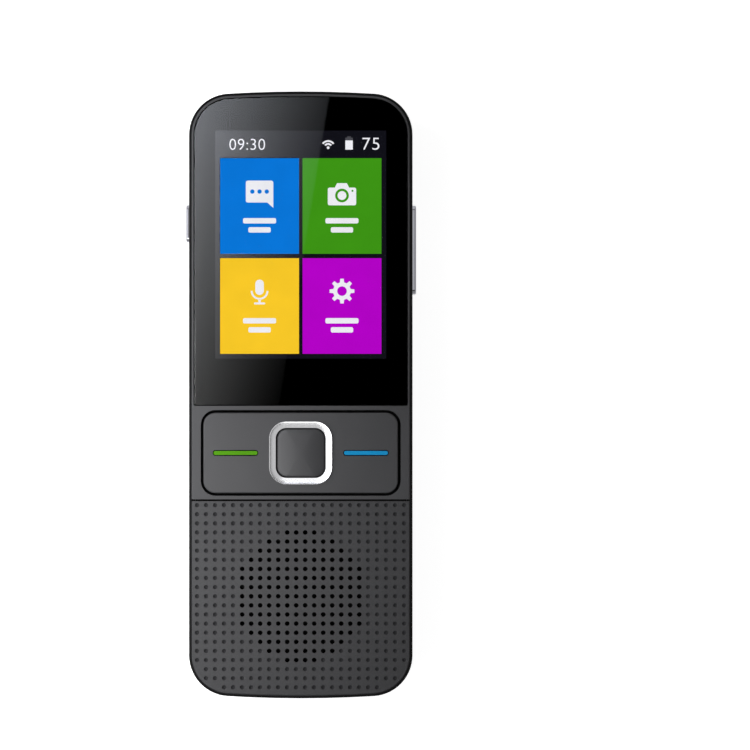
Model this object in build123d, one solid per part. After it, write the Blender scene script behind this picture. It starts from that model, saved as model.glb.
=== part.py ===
from build123d import *
import math
import os

# Handheld voice translator: a slim bar-shaped unit with a touch display, a tilting language key with
# a square select key in its middle, a perforated speaker grille, two side keys, a rear camera with a
# flash, and a battery cover that slides off the back.
#
# Millimetres. The unit lies on its back: +X to the right of the display, +Y to the display's top end,
# +Z out of the display. The origin is the middle of the footprint, at the camera boss's outer face.

# ---------------------------------------------------------------- overall form
BODY_WIDTH = 48.0
BODY_LENGTH = 130.3
BODY_DEPTH = 14.7
CORNER_RADIUS = 8.8
END_BOW_RADIUS = 260.0
CAMERA_BOSS_HEIGHT = 0.5
RUN_GAP = 0.15          # clearance round a piece that moves
FIT_GAP = 0.05          # clearance round a piece that is fixed

SIDE_X = BODY_WIDTH / 2
TOP_Y = BODY_LENGTH / 2
BACK_Z = CAMERA_BOSS_HEIGHT
FRONT_Z = BACK_Z + BODY_DEPTH
CORNER_X = SIDE_X - CORNER_RADIUS
CORNER_Y = TOP_Y - END_BOW_RADIUS + math.sqrt((END_BOW_RADIUS - CORNER_RADIUS) ** 2 - CORNER_X**2)

# ---------------------------------------------------------------- side frame
FRAME_WALL = 1.3
FRAME_STEP = 0.3        # the front cover stands this far above the frame
FRAME_BAND = 0.55       # the strip of frame that shows round the front cover
FRAME_FRONT_ROUND = 0.35
FRAME_BACK_ROUND = 0.5

FRAME_TOP = FRONT_Z - FRAME_STEP
INSIDE = FRAME_WALL + FIT_GAP
COVER_INSET = FRAME_BAND + FIT_GAP

# ---------------------------------------------------------------- curved back
REAR_INSET = 0.7        # the back starts this far inside the frame
SIDE_CURVE = 10.5       # how far in the back's long sides curve
END_CURVE = 4.0         # how far in its ends curve
CORNER_CLOSING = 2.6    # how much tighter its corners are at the flat of the back
CURVE_STEPS = 8
REAR_WALL = 1.4
COVER_WALL = 1.2
SEAM_FROM_TOP = 39.9    # from the top end to the battery cover's edge
SEAM_GAP = 0.2
COVER_RIM_GAP = 0.1

SEAM_Y = TOP_Y - SEAM_FROM_TOP
SEAM_WALL_Y = SEAM_Y + REAR_WALL
COVER_EDGE_Y = SEAM_Y - SEAM_GAP
HOUSING_INNER_Z = BACK_Z + REAR_WALL

# ---------------------------------------------------------------- front cover and glass
RIM = 0.4               # the cover's rim round the glass
COVER_EDGE_ROUND = 0.2
GLASS_GAP = 0.15
GLASS_THICKNESS = 1.1
GLASS_BELOW_RIM = 0.05
GLASS_EDGE = 0.1
GLASS_FOOT = 1.55       # glass beyond the display panel at its lower end
GLASS_FOOT_RADIUS = 0.4
INK_THICKNESS = 0.1
GASKET_THICKNESS = 0.2
LEDGE_THICKNESS = 1.15
SKIRT_WALL = 0.55
SKIRT_DROP = 0.7

GLASS_INSET = COVER_INSET + RIM + GLASS_GAP
GLASS_TOP_Z = FRONT_Z - GLASS_BELOW_RIM
GLASS_Z = GLASS_TOP_Z - GLASS_THICKNESS
INK_Z = GLASS_Z - INK_THICKNESS
PLATE_Z = INK_Z - GASKET_THICKNESS
LEDGE_Z = PLATE_Z - LEDGE_THICKNESS
SKIRT_Z = LEDGE_Z - SKIRT_DROP

# ---------------------------------------------------------------- display
SCREEN_WIDTH = 36.72
SCREEN_LENGTH = 48.96
SCREEN_FROM_TOP = 8.4   # from the top end to the picture
LCD_CORNER_GAP = 0.29   # from the panel's upper corners to the frame's round ones
LCD_FOOT = 8.44         # panel beyond the picture at its lower end
LCD_CELL = 1.2
LCD_TRAY = 1.1
LCD_GAP = 0.1
LCD_LEDGE = 1.2         # width of the ledge beside the panel
LCD_TAIL_STEP = 1.4     # bare end of the panel that its flexible tail is bonded to
LCD_FLEX_WIDTH = 12.0
LCD_FLEX_BEND = 0.45
LCD_FLEX_REACH = 0.35
LCD_SOCKET_FROM_END = 4.2  # from the panel's lower end to the middle of its socket on the board
LCD_SOCKET_DEPTH = 2.4
LCD_SOCKET_WALL = 1.0   # socket beyond the tail on each side
FLEX_THICKNESS = 0.15

SCREEN_Y = TOP_Y - SCREEN_FROM_TOP - SCREEN_LENGTH / 2
LCD_WIDTH = 2 * (SIDE_X - INSIDE - LCD_LEDGE - LCD_GAP)
LCD_CORNER_REACH = CORNER_RADIUS - FRAME_WALL - LCD_CORNER_GAP
LCD_TOP_Y = CORNER_Y + math.sqrt(LCD_CORNER_REACH**2 - (LCD_WIDTH / 2 - CORNER_X) ** 2)
LCD_BOTTOM_Y = SCREEN_Y - SCREEN_LENGTH / 2 - LCD_FOOT
LCD_LENGTH = LCD_TOP_Y - LCD_BOTTOM_Y
LCD_SOCKET_Y = LCD_BOTTOM_Y + LCD_SOCKET_FROM_END
CELL_TOP = INK_Z - FIT_GAP
CELL_Z = CELL_TOP - LCD_CELL
TRAY_Z = CELL_Z - LCD_TRAY
GLASS_BOTTOM_Y = LCD_BOTTOM_Y - GLASS_FOOT

# ---------------------------------------------------------------- language key (tilts) and select key
KEY_BRIDGE = 0.9        # strip of cover between the glass and the key opening
KEY_LOWER_BRIDGE = 0.75
KEY_SIDE_MARGIN = 2.55  # from the unit's side to the key opening
KEY_OPENING_HEIGHT = 18.4
KEY_OPENING_RADIUS = 3.2
KEY_GAP = 0.55
KEY_PROUD = 0.15
KEY_EDGE_ROUND = 0.3
KEY_SKIN = 1.4
KEY_WALL = 1.2
KEY_TRAVEL_DEG = 1.0
KEY_FLANGE = 0.4        # overlap under the opening's edge
KEY_FLANGE_THICKNESS = 0.65
KEY_FLANGE_DROP = 0.6   # room above the flange for the tilt
PIVOT_RADIUS = 0.6
PIVOT_LENGTH = 0.9
PIVOT_WALL = 1.1
LIGHT_BAR_FROM_RING = 2.55
LIGHT_BAR_FROM_END = 2.2
LIGHT_BAR_HEIGHT = 0.85
LIGHT_BAR_SLOT = 0.2    # width of the sunk border round a light bar
LIGHT_BAR_DEPTH = 0.5
RING_OUTER = 13.5
RING_BAND = 1.4
RING_RADIUS = 3.7
RING_PROUD = 0.35
RING_SEAT = 0.6         # depth of the ring's seat in the key plate
RING_BEVEL = 0.3
SELECT_GAP = 0.2
SELECT_FLANGE = 0.5
SELECT_FLANGE_THICKNESS = 0.7
SELECT_TRAVEL = 0.3
PAD_CORNER = 1.0
DOME_FROM_KEY_END = 5.9
DOME_RADIUS = 2.5
DOME_HEIGHT = 0.3
DOME_METAL = 0.08
DOME_SHEET = 0.1
PLUNGER_RADIUS = 1.3
RETAINER_THICKNESS = 0.8
RETAINER_WINDOW = 5.4

KEY_TOP = FRONT_Z + KEY_PROUD
KEY_OPENING_LENGTH = BODY_WIDTH - 2 * KEY_SIDE_MARGIN
KEY_Y = GLASS_BOTTOM_Y - GLASS_GAP - KEY_BRIDGE - KEY_OPENING_HEIGHT / 2
KEY_LENGTH = KEY_OPENING_LENGTH - 2 * KEY_GAP
KEY_HEIGHT = KEY_OPENING_HEIGHT - 2 * KEY_GAP
KEY_RADIUS = KEY_OPENING_RADIUS - KEY_GAP
LIGHT_BAR_LENGTH = (KEY_LENGTH - RING_OUTER) / 2 - LIGHT_BAR_FROM_RING - LIGHT_BAR_FROM_END
LIGHT_BAR_X = (RING_OUTER + LIGHT_BAR_LENGTH) / 2 + LIGHT_BAR_FROM_RING
DOME_X = KEY_LENGTH / 2 - DOME_FROM_KEY_END
FLANGE_LENGTH = KEY_OPENING_LENGTH + 2 * KEY_FLANGE
FLANGE_HEIGHT = KEY_OPENING_HEIGHT + 2 * KEY_FLANGE
FLANGE_TOP = PLATE_Z - KEY_FLANGE_DROP
FLANGE_Z = FLANGE_TOP - KEY_FLANGE_THICKNESS
KEY_WELL_HALF = FLANGE_HEIGHT / 2 + RUN_GAP
KEY_TILT = math.sin(math.radians(KEY_TRAVEL_DEG))
PIVOT_Z = (FLANGE_TOP + FLANGE_Z) / 2
RETAINER_TOP = FLANGE_Z - KEY_TILT * FLANGE_LENGTH / 2 - 2 * FIT_GAP
RETAINER_Z = RETAINER_TOP - RETAINER_THICKNESS
RING_INNER = RING_OUTER - 2 * RING_BAND
RING_INNER_RADIUS = RING_RADIUS - RING_BAND
RING_Z = KEY_TOP - RING_SEAT
RING_TOP = KEY_TOP + RING_PROUD
SELECT_SIZE = RING_INNER - 2 * SELECT_GAP
SELECT_RADIUS = RING_INNER_RADIUS - SELECT_GAP
SELECT_FLANGE_SIZE = SELECT_SIZE + 2 * SELECT_FLANGE
SELECT_PAD_SIZE = SELECT_SIZE - 2 * KEY_WALL
SELECT_FLANGE_Z = RETAINER_TOP + SELECT_TRAVEL + RUN_GAP
SELECT_FLANGE_TOP = SELECT_FLANGE_Z + SELECT_FLANGE_THICKNESS

# ---------------------------------------------------------------- grille panel
PANEL_GROOVE = 0.4
PANEL_THICKNESS = 1.2
HOLE_PITCH_X = 1.932
HOLE_PITCH_Y = 1.955
GRILLE_ABOVE_MIDDLE = 0.775  # from the panel's middle up to the grille's
SOUND_HOLE_RADIUS = 0.5
SOUND_FIELD_MARGIN = 0.57  # from the speaker's rim to the edge of the field of open holes
DIMPLE_BALL = 0.72
DIMPLE_DEPTH = 0.2
DIMPLE_SIDE_MARGIN = 1.7
DIMPLE_TOP_MARGIN = 0.8
SUBPLATE_THICKNESS = 1.2
SOUND_CHAMBER_DEPTH = 0.8

PANEL_SPLIT_Y = KEY_Y - KEY_OPENING_HEIGHT / 2 - KEY_LOWER_BRIDGE
PANEL_TOP_Y = PANEL_SPLIT_Y - PANEL_GROOVE
GRILLE_Y = (PANEL_TOP_Y - TOP_Y) / 2 + GRILLE_ABOVE_MIDDLE
PANEL_Z = FRONT_Z - PANEL_THICKNESS
SUBPLATE_Z = PANEL_Z - SUBPLATE_THICKNESS

# ---------------------------------------------------------------- floor and circuit boards
FLOOR_THICKNESS = 1.0
FLOOR_DROP = 0.7        # from the frame's lower edge up to the floor
COLLAR_WALL = 1.2
COLLAR_DROP = 0.7
BOARD_THICKNESS = 0.8
BOARD_LIFT = 0.8
BOARD_SIDE_GAP = 0.55
BOARD_FROM_TOP = 5.15
BOARD_BELOW_KEYS = 2.75
BOARD_RADIUS = 4.0
BOARD_HEADROOM = 0.3    # free height over the tallest piece on the board
POST_RADIUS = 1.5
POST_FROM_SIDE = 9.5
POST_FROM_BOARD_TOP = 5.5
STANDOFF_FROM_SIDE = 12.0
STANDOFF_FROM_LCD_END = 4.65
STANDOFF_FROM_BOARD_END = 3.4
SHIELD_FROM_BOARD_SIDE = 6.6
SHIELD_LENGTH = 30.0
SHIELD_HEIGHT = 1.0
SHIELD_WALL = 0.15
SHIELD_FROM_BOARD_TOP = 19.0
PROCESSOR_SIZE = 12.0
MEMORY_WIDTH = 9.0
MEMORY_LENGTH = 11.0
RADIO_WIDTH = 12.0
RADIO_LENGTH = 9.0
RADIO_FROM_MIDDLE = 2.0
RADIO_SHIELD_GAP = 2.5
COIL_SIZE = 4.0         # power inductor, beside the radio
COIL_X = -9.0
CRYSTAL_WIDTH = 2.5
CRYSTAL_LENGTH = 2.0
CRYSTAL_X = -3.3
SMALL_PART_WIDTH = 0.9
SMALL_PART_LENGTH = 1.8
SMALL_PART_HEIGHT = 0.6
SMALL_PART_ROWS = 4
SMALL_PART_PITCH_X = 1.6
SMALL_PART_PITCH_Y = 3.2
SMALL_PART_FROM_SHIELD = 2.5
SMALL_PART_FROM_LUG = 1.5

BOARD_TOP_Z = TRAY_Z - BOARD_HEADROOM - SHIELD_HEIGHT
BOARD_Z = BOARD_TOP_Z - BOARD_THICKNESS
FLOOR_TOP = BOARD_Z - BOARD_LIFT
FLOOR_Z = FLOOR_TOP - FLOOR_THICKNESS
FRAME_BOTTOM = FLOOR_Z - FLOOR_DROP
COVER_RIM_Z = FRAME_BOTTOM - COVER_RIM_GAP
BOARD_TOP_Y = TOP_Y - BOARD_FROM_TOP
BOARD_BOTTOM_Y = KEY_Y - KEY_OPENING_HEIGHT / 2 - BOARD_BELOW_KEYS
STANDOFF_Y = (LCD_BOTTOM_Y + STANDOFF_FROM_LCD_END, BOARD_BOTTOM_Y + STANDOFF_FROM_BOARD_END)
CHIP_HEIGHT = SHIELD_HEIGHT - SHIELD_WALL - 2 * FIT_GAP
SHIELD_Y = BOARD_TOP_Y - SHIELD_FROM_BOARD_TOP - SHIELD_LENGTH / 2
RADIO_Y = SHIELD_Y + SHIELD_LENGTH / 2 + RADIO_SHIELD_GAP + RADIO_LENGTH / 2
DOME_BASE_Z = BOARD_TOP_Z + DOME_SHEET
DOME_TOP_Z = DOME_BASE_Z + DOME_HEIGHT

# ---------------------------------------------------------------- side keys
SIDE_KEY_PROUD = 0.8
SIDE_KEY_HEIGHT = 2.0
SIDE_KEY_TRAVEL = 0.25
SIDE_KEY_OVERHANG = 0.4
SIDE_KEY_ROUND = 0.3
SIDE_FLANGE_THICKNESS = 0.5
SIDE_FLANGE_GAP = 0.2
POWER_KEY_FROM_TOP = 28.25
POWER_KEY_LENGTH = 8.1
POWER_KEY_PLAY = 0.15   # between its flange and the frame's wall
VOLUME_KEY_FROM_TOP = 33.95
VOLUME_KEY_LENGTH = 19.2
VOLUME_KEY_PLAY = 0.4
VOLUME_TILT_DEG = 1.5
VOLUME_DOME_OFFSET = 7.0
SIDE_DOME_HEIGHT = 0.25
SIDE_DOME_RADIUS = 1.1
SIDE_NUB_RADIUS = 0.8
SIDE_TAIL_WIDTH = 3.0
SIDE_CONNECTOR = 1.2
BRACKET_WALL = 0.85
BRACKET_FROM_WALL = 1.7  # from the frame's inner wall to the bracket that carries a key's domes

POWER_KEY_Y = TOP_Y - POWER_KEY_FROM_TOP
VOLUME_KEY_Y = TOP_Y - VOLUME_KEY_FROM_TOP
SIDE_KEY_Z = (FLOOR_TOP + SKIRT_Z) / 2
SIDE_FLANGE_HEIGHT = SKIRT_Z - FLOOR_TOP - 2 * SIDE_FLANGE_GAP
WALL_X = SIDE_X - FRAME_WALL
BRACKET_X = WALL_X - BRACKET_FROM_WALL
BRACKET_TOP = TRAY_Z - BOARD_HEADROOM
BOARD_WIDTH = 2 * (BRACKET_X - BRACKET_WALL - BOARD_SIDE_GAP)
SHIELD_WIDTH = BOARD_WIDTH - 2 * SHIELD_FROM_BOARD_SIDE
SIDE_DOME_TOP_X = BRACKET_X + FLEX_THICKNESS + SIDE_DOME_HEIGHT
VOLUME_NUB_TRAVEL = (VOLUME_DOME_OFFSET + SIDE_NUB_RADIUS) * math.sin(math.radians(VOLUME_TILT_DEG))
VOLUME_FLANGE_X = WALL_X - VOLUME_KEY_PLAY - SIDE_FLANGE_THICKNESS

# ---------------------------------------------------------------- screws
SCREW_RADIUS = 0.8
SCREW_HEAD_RADIUS = 1.4
SCREW_HEAD = 0.7
SCREW_HEAD_ROUND = 0.25
SCREW_LENGTH = 2.6
SCREW_HOLE_RADIUS = 0.95
DRIVE_RADIUS = 0.45
DRIVE_DEPTH = 0.4
INSERT_RADIUS = 1.25
INSERT_LENGTH = 2.4
BOSS_RADIUS = 2.1
LUG_RADIUS = 2.2
LUG_FROM_SIDE = 4.6
LUG_KEY_GAP = 0.6       # from the volume key's flange to the lug
UPPER_BOSS_FROM_SIDE = 5.0
UPPER_BOSS_BELOW_PANEL = 4.2
LOWER_BOSS_FROM_SIDE = 7.1
LOWER_BOSS_FROM_END = 7.75

BOSS_Z = FLOOR_TOP + FIT_GAP
LUG_X = SIDE_X - LUG_FROM_SIDE
LUG_Y = VOLUME_KEY_Y - VOLUME_KEY_LENGTH / 2 - SIDE_KEY_OVERHANG - LUG_RADIUS - LUG_KEY_GAP
COVER_BOSSES = (
    (SIDE_X - UPPER_BOSS_FROM_SIDE, PANEL_TOP_Y - UPPER_BOSS_BELOW_PANEL),
    (SIDE_X - LOWER_BOSS_FROM_SIDE, LOWER_BOSS_FROM_END - TOP_Y),
)

# ---------------------------------------------------------------- battery bay
BATTERY_FROM_SIDE = 7.0
BATTERY_FROM_END = 29.15
BATTERY_FROM_SEAM = 6.25
BATTERY_EDGE = 1.8
BATTERY_CAP = 3.0       # moulded end cap with the terminals
BATTERY_STOP_WIDTH = 16.0
TERMINAL_X = (-3.0, 0.0, 3.0)
TERMINAL_WIDTH = 1.8
TERMINAL_HEIGHT = 2.6
TERMINAL_DEPTH = 0.3
CONTACT_WIDTH = 1.0
CONTACT_THICKNESS = 0.3
CONTACT_BLOCK_WIDTH = 10.0
CONTACT_BLOCK_DEPTH = 3.0
CONTACT_REACH = 1.0     # from the battery to the contact block
CONTACT_BLOCK_LIFT = 1.0
HOOK_BATTERY_GAP = 0.3
HOOK_WALL = 1.0
HOOK_COVER_GAP = 0.23   # from a hook's lower corner down to the cover's curve
HOOK_LENGTH = 8.0
HOOK_THICKNESS = 0.9
HOOKS_FROM_LUG = (6.4, 18.4, 34.4)
LAST_HOOK_FROM_END = 19.15
COVER_LIP_OVERLAP = 0.6
COVER_LIP_THICKNESS = 0.95
COVER_LIP_DROP = 0.3
COVER_LIP_FROM_END = 15.15
LIP_GAP = 0.25
TONGUE_FROM_SIDE = 14.0
TONGUE_ROOT = 2.5
TONGUE_LENGTH = 1.2
TONGUE_THICKNESS = 0.6
COVER_RIB_X = 8.0
COVER_RIB_WIDTH = 1.0
COVER_RIB_FROM_END = 3.0

BATTERY_TOP_Y = SEAM_Y - BATTERY_FROM_SEAM
BATTERY_END_Y = BATTERY_FROM_END - TOP_Y
BATTERY_WIDTH = 2 * (SIDE_X - BATTERY_FROM_SIDE)
TONGUE_Z = HOUSING_INNER_Z + FIT_GAP
TONGUE_HALF = SIDE_X - TONGUE_FROM_SIDE
BATTERY_Z = TONGUE_Z + TONGUE_THICKNESS + RUN_GAP
BATTERY_MID_Z = (BATTERY_Z + FLOOR_Z) / 2
BATTERY_ROUND = min(BATTERY_EDGE, BATTERY_MID_Z - BATTERY_Z - FIT_GAP)
CONTACT_BLOCK_Z = BATTERY_Z + CONTACT_BLOCK_LIFT
LIP_TOP = COVER_RIM_Z - COVER_LIP_DROP
LIP_Z = LIP_TOP - COVER_LIP_THICKNESS
HOOK_X = BATTERY_WIDTH / 2 + HOOK_BATTERY_GAP
HOOK_TOP = LIP_Z - LIP_GAP
HOOK_Z = HOOK_TOP - HOOK_THICKNESS
HOOK_DEPTH = (FRAME_BOTTOM - HOOK_Z + HOOK_COVER_GAP) / (FRAME_BOTTOM - BACK_Z - COVER_WALL)
HOOK_TIP_X = SIDE_X - REAR_INSET - COVER_WALL - SIDE_CURVE * (1 - math.sqrt(1 - HOOK_DEPTH**2))
HOOK_PLACES = (*[LUG_Y - distance for distance in HOOKS_FROM_LUG], LAST_HOOK_FROM_END - TOP_Y)

# ---------------------------------------------------------------- lower board, socket and microphone
LOWER_BOARD_DEPTH = 5.2
LOWER_BOARD_LIFT = 0.2
LOWER_BOARD_FROM_WALL = 0.125  # at its two outer corners, because the end is bowed
LOWER_BOARD_BOSS_GAP = 1.8
LINK_WIDTH = 1.6
LINK_BOSS_GAP = 0.2
LINK_SOCKET_FROM_END = 0.3
LINK_SOCKET_LENGTH = 2.0
LINK_OVERLAP = 2.0      # of the flat cable under the lower board
SOCKET_WIDTH = 7.5
SOCKET_HEIGHT = 2.5
SOCKET_DEPTH = 5.4
SOCKET_WALL = 0.25
SOCKET_CHAMFER = 0.9
SOCKET_BACK = 0.5
SOCKET_MOUTH_GAP = 0.3
TONGUE_FROM_MOUTH = 0.8
CONTACT_TONGUE_BASE = 0.6
CONTACT_TONGUE_WIDTH = 3.7
CONTACT_TONGUE_THICKNESS = 0.65
MICROPHONE_FROM_BOARD_SIDE = 1.9
MICROPHONE_HOLE_RADIUS = 0.5
MICROPHONE_SIZE = 3.0
MICROPHONE_HEIGHT = 1.2
MICROPHONE_BOOT_REACH = 0.15  # beyond the lower board's edge
MICROPHONE_SETBACK = 0.45

WALL_Y = TOP_Y - FRAME_WALL
LOWER_BOARD_WIDTH = 2 * (COVER_BOSSES[1][0] - BOSS_RADIUS - LOWER_BOARD_BOSS_GAP)
END_SAG = END_BOW_RADIUS - math.sqrt(END_BOW_RADIUS**2 - (LOWER_BOARD_WIDTH / 2) ** 2)
LOWER_BOARD_BOTTOM_Y = -WALL_Y + END_SAG + LOWER_BOARD_FROM_WALL
LOWER_BOARD_TOP_Y = LOWER_BOARD_BOTTOM_Y + LOWER_BOARD_DEPTH
LOWER_BOARD_Z = FLOOR_TOP + LOWER_BOARD_LIFT
LOWER_BOARD_TOP_Z = LOWER_BOARD_Z + BOARD_THICKNESS
LINK_X = COVER_BOSSES[0][0] - BOSS_RADIUS - LINK_BOSS_GAP - LINK_WIDTH / 2
LINK_SOCKET_Y = BOARD_BOTTOM_Y + LINK_SOCKET_FROM_END
LINK_END_Y = LINK_SOCKET_Y + LINK_SOCKET_LENGTH
SOCKET_MID_Z = LOWER_BOARD_TOP_Z + SOCKET_HEIGHT / 2
SOCKET_FACE_Y = -TOP_Y + FRAME_WALL / 2
MICROPHONE_X = (LOWER_BOARD_WIDTH - MICROPHONE_SIZE) / 2 - MICROPHONE_FROM_BOARD_SIDE
MICROPHONE_Z = LOWER_BOARD_TOP_Z + MICROPHONE_HEIGHT / 2

# ---------------------------------------------------------------- speaker
SPEAKER_BOARD_GAP = 0.8
SPEAKER_WALL = 0.6
SPEAKER_GASKET = 0.4
GASKET_WIDTH = 1.2
MAGNET_RADIUS = 6.5
MAGNET_HEIGHT = 1.8
COIL_RADIUS = 4.0
COIL_WALL = 0.5
CONE_DEPTH = 1.1
CONE_THICKNESS = 0.25
CONE_SURROUND = 2.2
CONE_DOME = 0.6
MESH_THICKNESS = 0.12

SPEAKER_TOP = SUBPLATE_Z - SPEAKER_GASKET
SPEAKER_Z = FLOOR_TOP + FLEX_THICKNESS + FIT_GAP
SPEAKER_RADIUS = GRILLE_Y - LOWER_BOARD_TOP_Y - SPEAKER_BOARD_GAP
SPEAKER_BORE = SPEAKER_RADIUS - SPEAKER_WALL
SOUND_FIELD_RADIUS = SPEAKER_RADIUS + SOUND_FIELD_MARGIN
CONE_TOP = SPEAKER_TOP - 2 * FIT_GAP
CONE_Z = CONE_TOP - CONE_DEPTH

# ---------------------------------------------------------------- camera and flash
CAMERA_FROM_TOP = 11.55
CAMERA_BOSS_RADIUS = 7.15
CAMERA_BOSS_FLARE = 0.6
CAMERA_WINDOW_RADIUS = 6.9
CAMERA_WINDOW_THICKNESS = 0.8
CAMERA_WINDOW_SUNK = 0.1
LENS_SUNK = 0.15
LENS_X = 2.25
LENS_RADIUS = 1.6
LENS_PUPIL_RADIUS = 0.42
FLASH_X = -2.35
FLASH_RADIUS = 1.5
CAMERA_BODY = 8.5
CAMERA_BODY_OFFSET = 1.0
CAMERA_BARREL_RADIUS = 2.8
CAMERA_BARREL_LENGTH = 1.2
CAMERA_BOARD_GAP = 0.1
LED_SIZE = 2.0
LED_HEIGHT = 0.8
LED_BOARD = 0.4
LED_BOARD_HALF = 1.6
ANTENNA_WIDTH = 18.0
ANTENNA_LENGTH = 9.0
ANTENNA_FROM_SEAM = 5.35
ANTENNA_SPRING_WIDTH = 1.6
ANTENNA_SPRING_FOOT = 1.2
ANTENNA_SPRING_METAL = 0.2

CAMERA_Y = TOP_Y - CAMERA_FROM_TOP
WINDOW_TOP = CAMERA_WINDOW_SUNK + CAMERA_WINDOW_THICKNESS
CAMERA_X = LENS_X + CAMERA_BODY_OFFSET
CAMERA_BARREL_Z = HOUSING_INNER_Z + RUN_GAP
CAMERA_BODY_Z = CAMERA_BARREL_Z + CAMERA_BARREL_LENGTH
CAMERA_BODY_TOP = BOARD_Z - CAMERA_BOARD_GAP
ANTENNA_Y = SEAM_WALL_Y + ANTENNA_FROM_SEAM


# ================================================================ helpers
def block(x0, x1, y0, y1, z0, z1):
    """A box between two corners."""
    return Pos((x0 + x1) / 2, (y0 + y1) / 2, (z0 + z1) / 2) * Box(abs(x1 - x0), abs(y1 - y0), z1 - z0)


def band(y0, y1, z0=-BODY_LENGTH, z1=BODY_LENGTH):
    """A box across the whole width, to keep one stretch of the length."""
    return block(-BODY_WIDTH, BODY_WIDTH, y0, y1, z0, z1)


def disc(x, y, radius, z0, z1):
    return Pos(x, y, (z0 + z1) / 2) * Cylinder(radius, z1 - z0)


def slab(face, z0, z1):
    """A flat face raised between two heights."""
    return extrude(Pos(0, 0, z0) * face, z1 - z0)


def rounded(width, height, radius, x=0.0, y=KEY_Y):
    return Pos(x, y) * RectangleRounded(width, height, radius)


def capsule(length, height):
    """A slot-shaped face."""
    return RectangleRounded(length, height, height / 2 - FIT_GAP / 2)


def rod_y(radius, y0, y1, x, z):
    """A round rod along Y."""
    return Pos(x, (y0 + y1) / 2, z) * Cylinder(radius, abs(y1 - y0), rotation=(90, 0, 0))


def plan(half_width, half_length, corner, bow):
    """The unit seen from above: straight sides, gently bowed ends and round corners."""
    side = half_length - (bow - math.sqrt(bow**2 - half_width**2))
    edges = [
        Line((-half_width, -side), (-half_width, side)),
        ThreePointArc((-half_width, side), (0, half_length), (half_width, side)),
        Line((half_width, side), (half_width, -side)),
        ThreePointArc((half_width, -side), (0, -half_length), (-half_width, -side)),
    ]
    face = make_face(edges)
    return fillet(face.vertices(), corner)


def outline(inset):
    """The unit's outline, a given distance inside its edge."""
    return plan(SIDE_X - inset, TOP_Y - inset, CORNER_RADIUS - inset, END_BOW_RADIUS - inset)


def rear_form(wall):
    """The curved back as a solid, or its hollow where a wall thickness is given."""
    sections = []
    for step in range(CURVE_STEPS + 1):
        angle = math.radians(90 * step / CURVE_STEPS)
        turn_in = 1 - math.cos(angle)
        inset = REAR_INSET + wall
        height = FRAME_BOTTOM - (FRAME_BOTTOM - BACK_Z - wall) * math.sin(angle)
        face = plan(
            SIDE_X - inset - SIDE_CURVE * turn_in,
            TOP_Y - inset - END_CURVE * turn_in,
            CORNER_RADIUS - inset - CORNER_CLOSING * turn_in,
            END_BOW_RADIUS,
        )
        sections.append(Pos(0, 0, height) * face)
    return loft(sections)


def mirrored(shape):
    return mirror(shape, about=Plane.YZ)


def both_sides(shape):
    return shape + mirrored(shape)


def screw_places():
    """Centres of the six housing screws."""
    places = [(LUG_X, LUG_Y), *COVER_BOSSES]
    return [(side * x, y) for x, y in places for side in (-1, 1)]


def side_keys():
    """Side, place along the length and length of each side key."""
    return ((-1, POWER_KEY_Y, POWER_KEY_LENGTH), (1, VOLUME_KEY_Y, VOLUME_KEY_LENGTH))


# ================================================================ housing
def side_frame():
    frame = slab(outline(0), FRAME_BOTTOM, FRAME_TOP)
    frame = fillet(frame.edges().group_by(Axis.Z)[-1], FRAME_FRONT_ROUND)
    frame = fillet(frame.edges().group_by(Axis.Z)[0], FRAME_BACK_ROUND)
    frame -= slab(outline(FRAME_WALL), FRAME_BOTTOM, FRAME_TOP)
    frame -= slab(outline(FRAME_BAND), PLATE_Z - FIT_GAP, FRAME_TOP)
    lug = disc(LUG_X, LUG_Y, LUG_RADIUS, BOSS_Z, BRACKET_TOP)
    lug += block(
        LUG_X, WALL_X + FRAME_WALL / 2, LUG_Y - LUG_RADIUS, LUG_Y + LUG_RADIUS, BOSS_Z, BRACKET_TOP
    )
    lug -= disc(LUG_X, LUG_Y, INSERT_RADIUS, BOSS_Z, BOSS_Z + INSERT_LENGTH)
    frame += both_sides(lug)
    for side, y, length in side_keys():
        frame -= key_slot(side, y, length)
    frame -= socket_opening()
    outside, inside = -TOP_Y - FRAME_WALL, -WALL_Y + FRAME_WALL
    return frame - rod_y(MICROPHONE_HOLE_RADIUS, outside, inside, MICROPHONE_X, MICROPHONE_Z)


def key_slot(side, y, length):
    """The window in the frame's wall that a side key stands through."""
    face = Plane.YZ * capsule(length + 2 * RUN_GAP, SIDE_KEY_HEIGHT + 2 * RUN_GAP)
    return Pos(side * SIDE_X, y, SIDE_KEY_Z) * extrude(face, FRAME_WALL * 1.5, both=True)


def socket_mouth(gap):
    """The charging socket's outline in the XZ plane: a rectangle with its two lower corners cut off."""
    half = SOCKET_WIDTH / 2 + gap
    top = SOCKET_HEIGHT / 2 + gap
    cut = SOCKET_CHAMFER
    right = [(half, top), (half, cut - top), (half - cut, -top)]
    left = [(-x, z) for x, z in reversed(right)]
    return Plane.XZ * make_face(Polyline(*right, *left, close=True))


def socket_opening():
    return Pos(0, -TOP_Y, SOCKET_MID_Z) * extrude(socket_mouth(SOCKET_MOUTH_GAP), FRAME_WALL * 2, both=True)


def glass_face(inset):
    """The display glass's outline at a given distance inside the unit's edge, square at its foot."""
    foot = GLASS_BOTTOM_Y - (GLASS_INSET - inset)
    face = outline(inset) & Pos(0, foot + BODY_LENGTH) * Rectangle(2 * BODY_WIDTH, 2 * BODY_LENGTH)
    return fillet(face.vertices().group_by(Axis.Y)[0], GLASS_FOOT_RADIUS)


def lcd_window(gap):
    return Pos(0, (LCD_TOP_Y + LCD_BOTTOM_Y) / 2) * Rectangle(LCD_WIDTH + 2 * gap, LCD_LENGTH + 2 * gap)


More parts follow.
